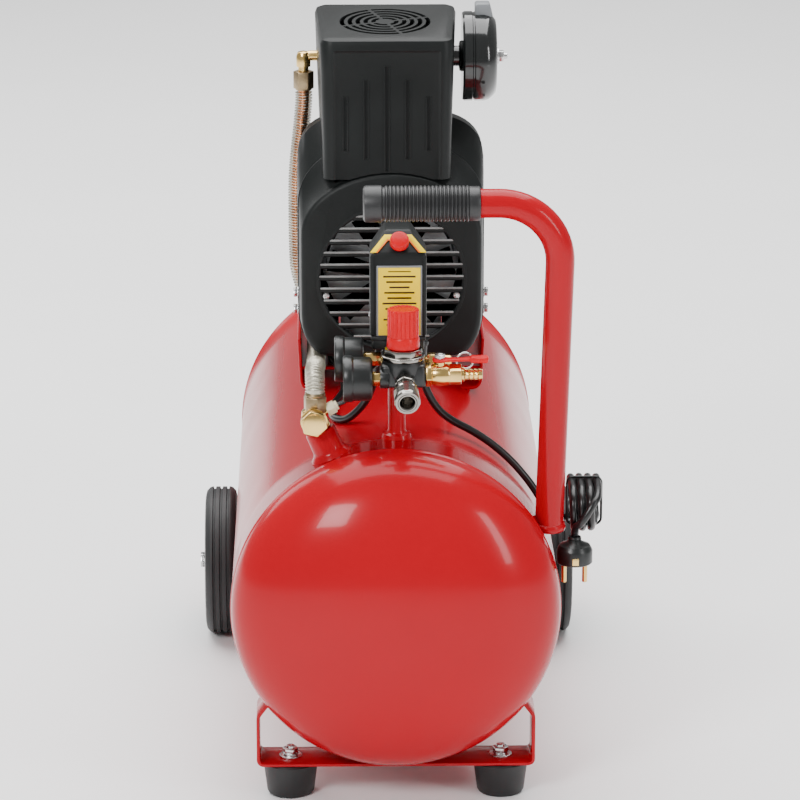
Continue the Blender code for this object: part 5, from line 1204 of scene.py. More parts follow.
def build_switch():
    """Pressure switch: base, chamfered cover, yellow frame and plate, and its red pull knob."""
    base_low, base_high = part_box("switch_base")
    base = block("switch_foot", base_low, base_high, 0.002)
    lip = block(
        "switch_lip", (base_low.x - 0.0012, base_low.y - 0.0012, base_high.z - 0.0040),
        (base_high.x + 0.0012, base_high.y + 0.0012, base_high.z + 0.0002), 0.0008,
    )
    dress(merge(base, lip), "black", replaces=["switch_base"])
    low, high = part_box("switch_cover")
    middle = (low.x + high.x) / 2
    half, across, down, brow = (high.x - low.x) / 2, 0.014, 0.021, 0.018
    face = [
        (-half, low.z), (half, low.z), (half, high.z - down), (half - across, high.z),
        (across - half, high.z), (-half, high.z - down),
    ]
    cover = slab("switch_hood", [(middle + x, low.y, z) for x, z in face], (0, high.y - low.y, 0))
    wedge = [
        (low.y - 0.003, high.z + 0.010), (low.y - 0.003, high.z - brow - 0.003),
        (low.y + brow + 0.010, high.z + 0.010),
    ]
    carve(cover, slab("brow_cut", [(middle - 0.06, y, z) for y, z in wedge], (0.12, 0, 0)))
    soften(cover, 0.0022, 3, 30)
    front_well = block(
        "plate_well", (middle - half + 0.0035, low.y - 0.01, low.z - 0.006),
        (middle + half - 0.0030, low.y + 0.0016, high.z - brow - 0.004), 0.0,
    )
    carve(cover, front_well)
    seam = block(
        "side_groove", (middle - half - 0.002, (low.y + high.y) / 2 - 0.0006, low.z - 0.01),
        (middle + half + 0.002, (low.y + high.y) / 2 + 0.0006, low.z + 0.055), 0.0,
    )
    inner = block(
        "side_groove_core", (middle - half + 0.0008, low.y - 0.01, low.z - 0.02),
        (middle + half - 0.0008, high.y + 0.01, high.z), 0.0,
    )
    carve(seam, inner)
    carve(cover, seam)
    dress(cover, "cover", replaces=["switch_cover"], smooth=30)
    plate_low, plate_high = low.z + 0.001, high.z - brow - 0.013
    plate = block(
        "plain_plate", (middle - half + 0.0075, low.y + 0.0002, plate_low),
        (middle + half - 0.0055, low.y + 0.0018, plate_high), 0.0004, 1,
    )
    frame_plate = block(
        "plate_frame", (middle - half + 0.0058, low.y + 0.0008, plate_low - 0.0008),
        (middle + half - 0.0038, low.y + 0.0019, plate_high + 0.0018), 0.0004, 1,
    )
    dress(frame_plate, "grey")
    FINISH["plate"] = ruled(
        "ruled_plate", list(bpy.context.scene.compressor_colours.label), (0.04, 0.02, 0.01), 0.0050,
        half - 0.0095, middle + 0.001, plate_low + 0.004, plate_high - 0.003,
    )
    dress(plate, "plate")
    slant = Vector((0, -1, 1)).normalized()
    tilt = Vector((0, 1, 1)).normalized()
    brow_middle = Vector((middle, low.y + brow / 2, high.z - brow / 2))
    reach = brow * 1.4142 / 2

    def on_brow(x, up):
        return brow_middle + Vector((x, 0, 0)) + tilt * up + slant * 0.0002

    foot_up = 0.0010 - reach
    for name, finish, outer, inner, height in (
        (
            "switch_band", "amber", ((0.0252, foot_up), (0.0122, 0.0068)),
            ((0.0200, foot_up), (0.0098, 0.0020)), 0.0014,
        ),
        (
            "switch_band_edge", "orange", ((0.0202, foot_up), (0.0099, 0.0022)),
            ((0.0184, foot_up), (0.0091, 0.0008)), 0.0011,
        ),
    ):
        (far_x, far_up), (top_x, top_up) = outer
        (near_x, near_up), (in_x, in_up) = inner
        shape = [
            (-far_x, far_up), (-top_x, top_up), (top_x, top_up), (far_x, far_up), (near_x, near_up),
            (in_x, in_up), (-in_x, in_up), (-near_x, near_up),
        ]
        band = slab(name, [on_brow(x, up) for x, up in shape], slant * height, 0.0003)
        dress(band, finish)
    start = brow_middle + Vector((0.001, 0, 0)) + slant * 0.0003
    knob = turned(
        "pull_knob",
        [
            (0, 0), (0.0058, 0), (0.0058, 0.0020), (0.0080, 0.0030), (0.0086, 0.0045), (0.0086, 0.0098),
            (0.0078, 0.0114), (0.0050, 0.0121), (0, 0.0121),
        ],
        start - tilt * 0.0040, slant, 44, bevel=0.0004,
    )
    dress(knob, "red", "switch_knob", ["switch_knob"])
    screws = []
    for sx in (-1, 1):
        screws.append(
            screw(
                f"switch_screw_{sx}",
                (middle + sx * (half - 0.0005), (low.y + high.y) / 2 + 0.014, low.z + 0.010), (sx, 0, 0),
                0.0028,
            )
        )
    dress(merge(*screws), "steel")


def screw(name, at, away, radius):
    """A pan head with a cross slot."""
    head = turned(
        name,
        [
            (0, -0.0012), (radius, -0.0012), (radius, 0.0004), (radius * 0.86, 0.0010),
            (radius * 0.45, 0.0013), (0, 0.0013),
        ],
        steps=24,
    )
    for index in range(2):
        slot = block(
            f"{name}_slot_{index}", (-radius * 0.6, -radius * 0.11, 0.0006),
            (radius * 0.6, radius * 0.11, 0.003), 0.0,
        )
        carve(head, seat_turned(slot, math.pi / 2 * index))
    return seat(head, at, away)


def build_gauges():
    """Two pressure gauges: case, lens, dial, needle and brass stem."""
    for name in ("gauge_front", "gauge_rear"):
        low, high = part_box(name)
        y, z = (low.y + high.y) / 2, (low.z + high.z) / 2
        radius, face = (high.z - low.z) / 2, high.x - low.x
        at = (high.x, y, z)
        back = face - 0.0265
        case = turned(
            f"{name}_case",
            [
                (0, back), (radius - 0.0050, back), (radius - 0.0022, back + 0.0010),
                (radius - 0.0012, back + 0.0030), (radius - 0.0012, face - 0.0095),
                (radius - 0.0004, face - 0.0085), (radius, face - 0.0075), (radius, face - 0.0015),
                (radius - 0.0008, face - 0.0003), (radius - 0.0020, face),
                (radius - 0.0030, face - 0.0008), (radius - 0.0030, face - 0.0060), (0, face - 0.0060),
            ],
            at, (-1, 0, 0), 64,
        )
        dress(case, "black", replaces=[name], smooth=35)
        dial = round_bar(f"{name}_dial", radius - 0.0031, face - 0.0059, face - 0.0052, at, (-1, 0, 0), 48)
        dress(dial, "dial")
        marks = []
        for index in range(11):
            tick = block(
                f"{name}_tick_{index}", (radius - 0.0078, -0.0003, face - 0.0053),
                (radius - 0.0045, 0.0003, face - 0.0049), 0.0,
            )
            marks.append(seat_turned(tick, math.radians(-45 + 27 * index)))
        needle = slab(
            f"{name}_needle",
            [
                (-0.004, -0.0009, face - 0.0046), (radius - 0.006, -0.0002, face - 0.0046),
                (radius - 0.006, 0.0002, face - 0.0046), (-0.004, 0.0009, face - 0.0046),
            ],
            (0, 0, 0.0004),
        )
        hub = turned(
            f"{name}_hub",
            [(0, face - 0.0052), (0.0022, face - 0.0052), (0.0022, face - 0.0040), (0, face - 0.0038)],
            steps=20,
        )
        dress(
            seat(merge(*marks, seat_turned(needle, math.radians(-45)), hub), at, (-1, 0, 0)), "black",
        )
        lens = turned(
            f"{name}_lens",
            [
                (0, face - 0.0034), (radius - 0.0029, face - 0.0034), (radius - 0.0029, face - 0.0020),
                (0, face - 0.0008),
            ],
            at, (-1, 0, 0), 48,
        )
        dress(lens, "glass")
        stem = prism(f"{name}_stem", 6, 0.0066, -0.0010, back + 0.0005, at, (-1, 0, 0), bevel=0.0005)
        dress(stem, "brass")


def build_outlets():
    """Ball valve, hose barb and lever, and the safety valve with its pull ring."""
    low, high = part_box("ball_valve")
    y, z, x = (low.y + high.y) / 2, BLOCK_LOW.z + 0.010, low.x
    tip = high.x - x
    body = turned(
        "valve_ball_body",
        [
            (0, 0.0050), (0.0086, 0.0050), (0.0094, 0.0065), (0.0098, 0.0090), (0.0104, 0.0120),
            (0.0104, 0.0165), (0.0096, 0.0195), (0.0090, 0.0215), (0, 0.0215),
        ],
        (x, y, z), ACROSS, 40, bevel=0.0003,
    )
    inlet = prism("valve_inlet", 6, 0.0110, 0.0, 0.0054, (x, y, z), ACROSS, bevel=0.0007, start=0.2)
    outlet = prism("valve_outlet", 6, 0.0100, 0.0210, 0.0320, (x, y, z), ACROSS, bevel=0.0008, start=0.5)
    neck = round_bar("valve_neck", 0.0070, 0.0315, 0.0345, (x, y, z), ACROSS, 28, bevel=0.0004)
    bonnet = turned(
        "valve_bonnet",
        [(0.0031, 0.0040), (0.0055, 0.0040), (0.0055, 0.0120), (0.0048, 0.0125), (0.0031, 0.0125)],
        (x + PIVOT_FROM_VALVE, y, z), UP, 28, ring=True,
    )
    barb = [(0.0026, 0.0340)]
    for index in range(4):
        start = 0.0345 + index * (tip - 0.0345) / 4
        step = (tip - 0.0345) / 4
        barb += [(0.0044, start), (0.0055, start + step * 0.18), (0.0046, start + step * 0.95)]
    barb += [(0.0040, tip), (0.0026, tip)]
    hose_end = turned("hose_tail", barb, (x, y, z), ACROSS, 32, ring=True)
    dress(merge(body, inlet, outlet, neck, bonnet, hose_end), "brass", replaces=["ball_valve"])
    lever_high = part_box("valve_lever")[1]
    pivot = Vector((x + PIVOT_FROM_VALVE, y, 0))
    plate = BLOCK_LOW.z + 0.0228
    top = [
        (-0.0065, -0.0040), (-0.0040, -0.0065), (0.0040, -0.0065), (0.0080, -0.0046), (0.0200, -0.0040),
        (0.0360, -0.0058), (0.0415, -0.0055),
        (0.0440, -0.0030), (0.0440, 0.0030), (0.0415, 0.0055), (0.0360, 0.0058), (0.0200, 0.0040),
        (0.0080, 0.0046), (0.0040, 0.0065), (-0.0040, 0.0065), (-0.0065, 0.0040),
    ]
    lever = slab("lever_plate", [(pivot.x + a, pivot.y + b, plate) for a, b in top], (0, 0, 0.0022), 0.0006)
    only(lever)
    bpy.ops.object.mode_set(mode="EDIT")
    pick(lever, lambda face: face.center.x > pivot.x + 0.030)
    bpy.ops.transform.translate(value=(0, 0, 0.0014))
    bpy.ops.object.mode_set(mode="OBJECT")
    handle = block(
        "lever_grip", (pivot.x + 0.0270, y - 0.0052, plate - 0.0016),
        (lever_high.x - 0.0003, y + 0.0052, plate + 0.0044), 0.0022, 3,
    )
    dress(merge(lever, handle), "red", "valve_lever", ["valve_lever"])
    stem = prism(
        "lever_stem", 24, 0.0029, BLOCK_LOW.z + 0.0145, plate + 0.0072, (pivot.x, pivot.y, 0), bevel=0.0006,
    )
    nut = prism("lever_nut", 6, 0.0055, plate + 0.0021, plate + 0.0062, (pivot.x, pivot.y, 0), bevel=0.0006)
    dress(merge(stem, nut), "steel", "valve_lever")
    safe_low, safe_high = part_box("safety_valve")
    y, z, x = (safe_low.y + safe_high.y) / 2, (safe_low.z + safe_high.z) / 2, safe_low.x
    end = safe_high.x - x
    valve = turned(
        "safety_body",
        [
            (0, 0), (0.0050, 0), (0.0050, 0.0100), (0.0060, 0.0110), (0.0060, 0.0125), (0.0054, 0.0135),
            (0.0054, end - 0.002), (0.0045, end), (0.0019, end), (0.0019, 0.0130), (0, 0.0130),
        ],
        (x, y, z), ACROSS, 32, bevel=0.0003,
    )
    hexagon = prism("safety_hex", 6, 0.0080, 0.0020, 0.0100, (x, y, z), ACROSS, bevel=0.0006)
    dress(merge(valve, hexagon), "brass", replaces=["safety_valve"])
    pin = prism("safety_pin", 16, 0.0014, 0.0128, end + 0.0055, (x, y, z), ACROSS, bevel=0.0003)
    hoop = tube(
        "safety_hoop", [(x + end + 0.0120 + a, y, z + b) for a, b in circle(0.0075, 40)], 0.0009, 3,
        closed=True,
    )
    dress(merge(pin, hoop), "steel", "safety_ring", ["safety_ring"], 60)


def build_coupler():
    """Quick coupler: knurled body with a bore, and the sleeve that slides on it."""
    start = Vector((0.008, FRONT - 0.0001 + 0.007, BLOCK_LOW.z + 0.008))
    away = Vector(OUTLET_AXIS).normalized()
    length, bore, inner = 0.044, 0.0062, 0.0085
    body = turned(
        "coupler_core",
        [
            (0, 0.0142), (bore, 0.0142), (bore, length - 0.0012), (bore + 0.0010, length),
            (inner - 0.0004, length), (inner, length - 0.0006), (inner, 0.0135),
            (0.0090, 0.0135), (0.0090, 0.0120), (0.0078, 0.0110), (0.0078, -0.0030), (0, -0.0030),
        ],
        start, away, 40,
    )
    hexagon = prism("coupler_hex", 6, 0.0098, 0.0030, 0.0112, start, away, bevel=0.0007, start=0.2)
    dress(merge(body, hexagon), "chrome", replaces=["coupler_body"], smooth=30)
    outer, hole = 0.0115, inner + 0.0003
    profile = [
        (hole, length - 0.0242), (outer - 0.0014, length - 0.0242), (outer - 0.0004, length - 0.0236),
        (outer - 0.0004, length - 0.0195), (outer - 0.0012, length - 0.0188),
    ]
    for index in range(5):
        at = length - 0.0180 + index * 0.0021
        profile += [
            (outer - 0.0012, at), (outer - 0.0003, at + 0.0005), (outer - 0.0003, at + 0.0013),
            (outer - 0.0012, at + 0.0018),
        ]
    profile += [
        (outer - 0.0010, length - 0.0070), (outer, length - 0.0062), (outer, length - 0.0020),
        (outer - 0.0008, length - 0.0006), (outer - 0.0020, length - 0.0004), (hole, length - 0.0004),
    ]
    sleeve = turned("coupler_slide", profile, start, away, 48, ring=True)
    dress(sleeve, "chrome", "coupler_sleeve", ["coupler_sleeve"], 30)


# ---------------------------------------------------------------- pump
def arch(y, grow, half_width, spring, crown, power=2.0, lower=0.040, steps=28):
    """The covers' section: flat bottom with wide corners, straight sides and an arched top."""
    bottom = CRANK_AXIS - 0.077 - grow
    half_width += grow
    spring_z, crown_z = CRANK_AXIS + spring, CRANK_AXIS + crown + grow
    points = []
    corner_steps = 6
    for step in range(corner_steps + 1):
        angle = math.pi / 2 * step / corner_steps
        points.append(
            Vector(
                (
                    half_width - lower * 0.62 * (1 - math.sin(angle)), y,
                    bottom + lower * (1 - math.cos(angle)),
                )
            )
        )
    for step in range(steps + 1):
        angle = math.pi * step / steps
        sideways = math.copysign(abs(math.cos(angle)) ** (2 / power), math.cos(angle))
        points.append(
            Vector(
                (half_width * sideways, y, spring_z + (crown_z - spring_z) * math.sin(angle) ** (2 / power))
            )
        )
    for step in range(corner_steps, -1, -1):
        angle = math.pi / 2 * step / corner_steps
        points.append(
            Vector(
                (
                    lower * 0.62 * (1 - math.sin(angle)) - half_width, y,
                    bottom + lower * (1 - math.cos(angle)),
                )
            )
        )
    return points


def section_front():
    """The covers' section at the front edge."""
    return {"half_width": COVER_HIGH.x - 0.0023, "spring": 0.042, "crown": 0.102}


def section_seam():
    """The section where the two covers meet."""
    return {"half_width": COVER_HIGH.x, "spring": 0.064, "crown": 0.128, "power": 2.2}


def section_back():
    """The section of the shroud's back half."""
    return {"half_width": COVER_HIGH.x + 0.0012, "spring": 0.090, "crown": 0.148, "power": 3.2}


def skin(name, sections, open_at=None, wall=0.0):
    """A piece bridged through sections of equal point count and filled at its ends, but not at open_at."""
    rings = [draw_ring(f"{name}_{index}", section) for index, section in enumerate(sections)]
    piece = rings[0]
    for ring in rings[1:]:
        merge(piece, ring)
    piece.name = piece.data.name = name
    count = len(sections[0])
    only(piece)
    bpy.ops.object.mode_set(mode="EDIT")
    for index in range(len(sections) - 1):
        pick_points(piece, count * index, count * (index + 2))
        bpy.ops.mesh.bridge_edge_loops()
    for index in (0, len(sections) - 1):
        if index != open_at:
            pick_points(piece, count * index, count * (index + 1))
            bpy.ops.mesh.edge_face_add()
    close_up(piece)
    if wall:
        apply(piece, "SOLIDIFY", thickness=wall, offset=-1, use_even_offset=True)
    return piece


def pick_points(piece, first, last):
    """Selects, in edit mode, the vertices numbered from first up to last."""
    bpy.ops.mesh.select_mode(type="VERT")
    bpy.ops.mesh.select_all(action="DESELECT")
    bpy.ops.object.mode_set(mode="OBJECT")
    for vertex in piece.data.vertices:
        vertex.select = first <= vertex.index < last
    bpy.ops.object.mode_set(mode="EDIT")


def draw_ring(name, points):
    """A closed loop of edges with no face."""
    piece = draw(name, points)
    bpy.ops.mesh.select_all(action="DESELECT")
    bpy.ops.object.mode_set(mode="OBJECT")
    piece.data.vertices[0].select = piece.data.vertices[len(points) - 1].select = True
    bpy.ops.object.mode_set(mode="EDIT")
    bpy.ops.mesh.select_mode(type="VERT")
    bpy.ops.mesh.edge_face_add()
    bpy.ops.object.mode_set(mode="OBJECT")
    return piece


def duct_well(name):
    """A cutter for the opening in a cover under the hood."""
    low = (DUCT_LOW.x + 0.018, PUMP + 0.008, CRANK_AXIS + 0.082)
    high = (DUCT_HIGH.x - 0.018, PUMP + 0.2, CRANK_AXIS + 0.25)
    return block(name, low, high, 0.0)


def build_covers():
    """Louvred front cover and the shroud behind it."""
    sizes = bpy.context.scene.compressor_sizes
    radius, pitch = sizes.window_radius, sizes.slat_pitch
    depth = COVER_HIGH.y - PUMP
    front, seam, back = section_front(), section_seam(), section_back()
    cover = skin(
        "louvred_cover",
        [
            arch(PUMP, -0.0050, **front), arch(PUMP + 0.0009, -0.0024, **front),
            arch(PUMP + 0.0030, -0.0006, **front), arch(PUMP + 0.0060, 0, **front),
            arch(PUMP + depth - 0.0024, -0.0002, **seam), arch(PUMP + depth - 0.0020, 0.0006, **seam),
            arch(PUMP + depth, 0.0006, **seam),
        ],
        open_at=6,
        wall=MOULDED_WALL,
    )
    window = round_bar("window_cut", radius, -0.02, 0.02, (0, PUMP, CRANK_AXIS), ALONG, 96)
    well = duct_well("duct_opening")
    carve(cover, window, well)
    dress(cover, "cover", replaces=["front_cover"], smooth=34)
    rim = turned(
        "window_rim",
        [
            (radius + 0.0035, 0.0012), (radius + 0.0024, -0.0006), (radius + 0.0004, -0.0010),
            (radius - 0.0014, 0.0004), (radius - 0.0018, 0.0080), (radius + 0.0020, 0.0080),
        ],
        (0, PUMP + 0.0004, CRANK_AXIS), ALONG, 96, ring=True,
    )
    slats, lips = [rim], []
    rows = int(radius / pitch)
    for row in range(-rows, rows + 1):
        height = row * pitch
        reach = math.sqrt(max(0.0, radius**2 - height**2))
        if reach < 0.014:
            continue
        z = CRANK_AXIS + height
        section = [
            (0.0002, z + 0.0026), (0.0014, z + 0.0031), (0.0058, z + 0.0004), (0.0078, z - 0.0022),
            (0.0066, z - 0.0030), (0.0018, z - 0.0024), (0.0002, z - 0.0012),
        ]
        slat = slab(
            f"slat_{row + rows}", [(-reach, PUMP + y, zz) for y, zz in section], (2 * reach, 0, 0), 0.0004,
            2,
        )
        slats.append(slat)
        # A thin strip along each slat's top edge in the light grey lip finish: a painted highlight.
        lips.append(
            block(
                f"slat_highlight_strip_{row + rows}", (0.0006 - reach, PUMP - 0.0004, z + 0.0012),
                (reach - 0.0006, PUMP + 0.0016, z + 0.0032), 0.0007, 2,
            )
        )
    dress(merge(*slats), "cover", smooth=40)
    # The strips get the lip finish, a painted highlight.
    dress(merge(*lips), "lip", smooth=40)
    start = PUMP + depth + 0.0003
    end = SHROUD_HIGH.y
    middle = start + (end - start) * 0.55
    shroud = skin(
        "rear_shell",
        [
            arch(start, 0, **seam),
            arch(
                start + (middle - start) * 0.5, -0.0002,
                half_width=(seam["half_width"] + back["half_width"]) / 2, spring=0.0775, crown=0.139,
                power=2.65,
            ),
            arch(middle, 0, **back),
            arch(end - 0.0040, 0, **back), arch(end - 0.0012, -0.0012, **back), arch(end, -0.0045, **back),
        ],
        open_at=0,
        wall=MOULDED_WALL,
    )
    hole = round_bar("case_cut", 0.066, -0.02, 0.02, (0, end, CRANK_AXIS), ALONG, 72)
    slot = block(
        "cylinder_cut", (-0.040, end - 0.012, CRANK_AXIS), (0.040, end + 0.01, CRANK_AXIS + 0.085), 0.0,
    )
    foot = block(
        "foot_cut", (-0.050, start + 0.004, CRANK_AXIS - 0.095), (0.050, end + 0.01, CRANK_AXIS - 0.040),
        0.0,
    )
    well = duct_well("duct_opening_rear")
    carve(shroud, hole, slot, foot, well)
    dress(shroud, "cover", replaces=["rear_shroud"], smooth=34)
    screws = []
    for side in (-1, 1):
        screws.append(
            screw(
                f"window_screw_{side}", (side * 0.0620, PUMP + 0.0030, CRANK_AXIS - 0.0175), (0, -1, 0),
                0.0034,
            )
        )
        for index, rise in enumerate((-0.024, -0.040)):
            at = (side * (COVER_HIGH.x + 0.0002), start + 0.010, CRANK_AXIS + rise)
            screws.append(
                prism(
                    f"side_bolt_{side}_{index}", 6, 0.0046, 0.0012, 0.0050, at, (side, 0, 0), bevel=0.0005,
                )
            )
            screws.append(
                prism(
                    f"side_washer_{side}_{index}", 28, 0.0058, -0.0010, 0.0012, at, (side, 0, 0),
                    bevel=0.0003,
                )
            )
    dress(merge(*screws), "steel")


def duct_ring(z_front, slope, half_front, half_back, depth, inset, radius=0.012):
    """One level of the hood: a rounded four-sided ring, wider at the back and rising by slope."""
    offset = (DUCT_LOW.x + DUCT_HIGH.x) / 2
    corners = [
        (inset - half_front, PUMP + inset, 0), (half_front - inset, PUMP + inset, 0),
        (half_back - inset, PUMP + depth - inset, 0), (inset - half_back, PUMP + depth - inset, 0),
    ]
    middle = ((corners[0][0] + corners[1][0]) / 2, corners[0][1], 0)
    path = rounded([middle, *corners[1:], corners[0], middle], max(0.004, radius - inset), 7)[:-1]
    return [Vector((offset + p.x, p.y, z_front + slope * (p.y - PUMP) / depth)) for p in path]


def build_duct():
    """Hood over the cylinder head: ribbed front, ring grille, and a hole for each port."""
    half, low, slope, wall = 0.062, CRANK_AXIS + 0.096, 0.011, 0.0032
    top = DUCT_HIGH.z - slope
    offset = (DUCT_LOW.x + DUCT_HIGH.x) / 2
    deep = DUCT_HIGH.y - PUMP
    shallow = deep - 0.010
    duct = skin(
        "head_hood",
        [
            duct_ring(low, 0, half - 0.002, half + 0.002, shallow, 0),
            duct_ring(low + 0.034, 0, half - 0.0018, half + 0.002, shallow + 0.001, 0),
            duct_ring(top - 0.030, slope, half - 0.0004, half + 0.0052, deep - 0.001, 0),
            duct_ring(top - 0.0060, slope, half, half + 0.006, deep, 0),
            duct_ring(top - 0.0018, slope, half, half + 0.006, deep, 0.0016),
            duct_ring(top, slope, half, half + 0.006, deep, 0.0060),
        ],
        open_at=0,
        wall=wall,
    )
    start = COVER_HIGH.y
    end = SHROUD_HIGH.y
    room = 0.0004
    roof = skin(
        "roof_cut",
        [
            arch(PUMP - 0.002, room, **section_front()), arch(PUMP + 0.006, room, **section_front()),
            arch(start, room, **section_seam()),
            arch(start + (end - start) * 0.55, room, **section_back()),
            arch(end + 0.0006, room, **section_back()),
        ],
    )
    carve(duct, roof)
    grille = Vector((offset - 0.001, PUMP + 0.062, top + slope * 0.5))
    for index, radius in enumerate((0.0130, 0.0205, 0.0280, 0.0355, 0.0430)):
        groove = turned(
            f"ring_cut_{index}",
            [(radius, 0.02), (radius, -0.02), (radius - 0.0042, -0.02), (radius - 0.0042, 0.02)], grille,
            steps=72, ring=True,
        )
        for turn in (0.35, 0.35 + math.pi / 2):
            spoke = block(f"spoke_{index}", (-0.06, -0.0016, -0.03), (0.06, 0.0016, 0.03), 0.0)
            carve(groove, seat(spoke, grille, UP, turn))
        carve(duct, groove)
    elbow_low, elbow_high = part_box("discharge_elbow")
    filter_y, filter_z = filter_axis()
    port = round_bar(
        "elbow_cut", 0.0086, -0.02, 0.02,
        (DUCT_LOW.x + 0.004, (elbow_low.y + elbow_high.y) / 2, elbow_high.z - 0.005), ACROSS, 32,
    )
    neck = round_bar("neck_cut", 0.0115, -0.02, 0.02, (DUCT_HIGH.x - 0.004, filter_y, filter_z), ACROSS, 32)
    carve(duct, port, neck)
    panel = block(
        "panel_cut", (offset - 0.0520, PUMP - 0.01, low - 0.02),
        (offset + 0.0520, PUMP + 0.0015, top - 0.009), 0.0045,
    )
    carve(duct, panel)
    for shift, bottom, high in HOOD_GROOVES:
        groove = block(
            f"groove_{shift}", (offset + shift - 0.0013, PUMP - 0.01, low + bottom),
            (offset + shift + 0.0013, PUMP + 0.0027, top - high - 0.006), 0.0,
        )
        carve(duct, groove)
    lips = []
    for shift, bottom, high in HOOD_GROOVES:
        for side in (-1, 1):
            middle = offset + shift + side * 0.0021
            lips.append(
                block(
                    f"lip_{shift}_{side}", (middle - 0.0007, PUMP + 0.0006, low + bottom - 0.001),
                    (middle + 0.0007, PUMP + 0.0022, top - high - 0.005), 0.0005, 2,
                )
            )
    dress(merge(duct, *lips), "cover", replaces=["head_duct"], smooth=34)


def filter_axis():
    """The filter's middle as (y, z), from its stud."""
    bolt_low, bolt_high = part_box("filter_bolt")
    return (bolt_low.y + bolt_high.y) / 2, (bolt_low.z + bolt_high.z) / 2


def build_filter():
    """Intake filter: can, neck, grey top tab and the stud and nut through it."""
    low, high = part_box("air_filter")
    y, z = filter_axis()
    radius = (high.y - low.y) / 2
    inner = 0.068
    can = turned(
        "filter_can",
        [
            (0.0032, high.x - 0.0010), (0.0110, high.x - 0.0004), (0.0125, high.x - 0.0018),
            (0.0300, high.x - 0.0010), (0.0345, high.x - 0.0018), (radius - 0.0050, high.x - 0.0042),
            (radius - 0.0012, high.x - 0.0085), (radius, high.x - 0.0130), (radius, inner + 0.0120),
            (radius - 0.0008, inner + 0.0112), (radius - 0.0008, inner + 0.0100),
            (radius, inner + 0.0092), (radius, inner + 0.0020), (radius - 0.0014, inner), (0.0150, inner),
            (0.0140, inner - 0.0025), (0.0098, inner - 0.0032), (0.0098, low.x + 0.0090),
            (0.0090, low.x + 0.0080), (0.0090, low.x), (0.0060, low.x), (0.0060, inner + 0.006),
            (0.0032, inner + 0.006),
        ],
        (0, y, z), ACROSS, 96, ring=True,
    )
    dress(can, "gloss", replaces=["air_filter"], smooth=30)
    tab = slab(
        "filter_tab",
        [
            (0.0800, y - 0.0095, high.z - 0.0125), (0.0800, y - 0.0095, high.z - 0.0012),
            (0.0820, y - 0.0095, high.z), (0.0935, y - 0.0095, high.z),
            (0.0950, y - 0.0095, high.z - 0.0040), (0.0970, y - 0.0095, high.z - 0.0125),
        ],
        (0, 0.019, 0), 0.0012,
    )
    dress(tab, "grey")
    bolt_low, bolt_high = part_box("filter_bolt")
    shank = prism(
        "filter_shank", 24, 0.0030, bolt_low.x, bolt_high.x - 0.0012, (0, y, z), ACROSS, bevel=0.0006,
    )
    washer = turned(
        "filter_washer",
        [
            (0.0030, high.x + 0.0002), (0.0078, high.x + 0.0002), (0.0076, high.x + 0.0014),
            (0.0030, high.x + 0.0016),
        ],
        (0, y, z), ACROSS, 32, ring=True,
    )
    nut = prism("filter_nut", 6, 0.0058, high.x + 0.0012, high.x + 0.0062, (0, y, z), ACROSS, bevel=0.0006)
    dress(merge(shank, washer, nut), "steel", replaces=["filter_bolt"])


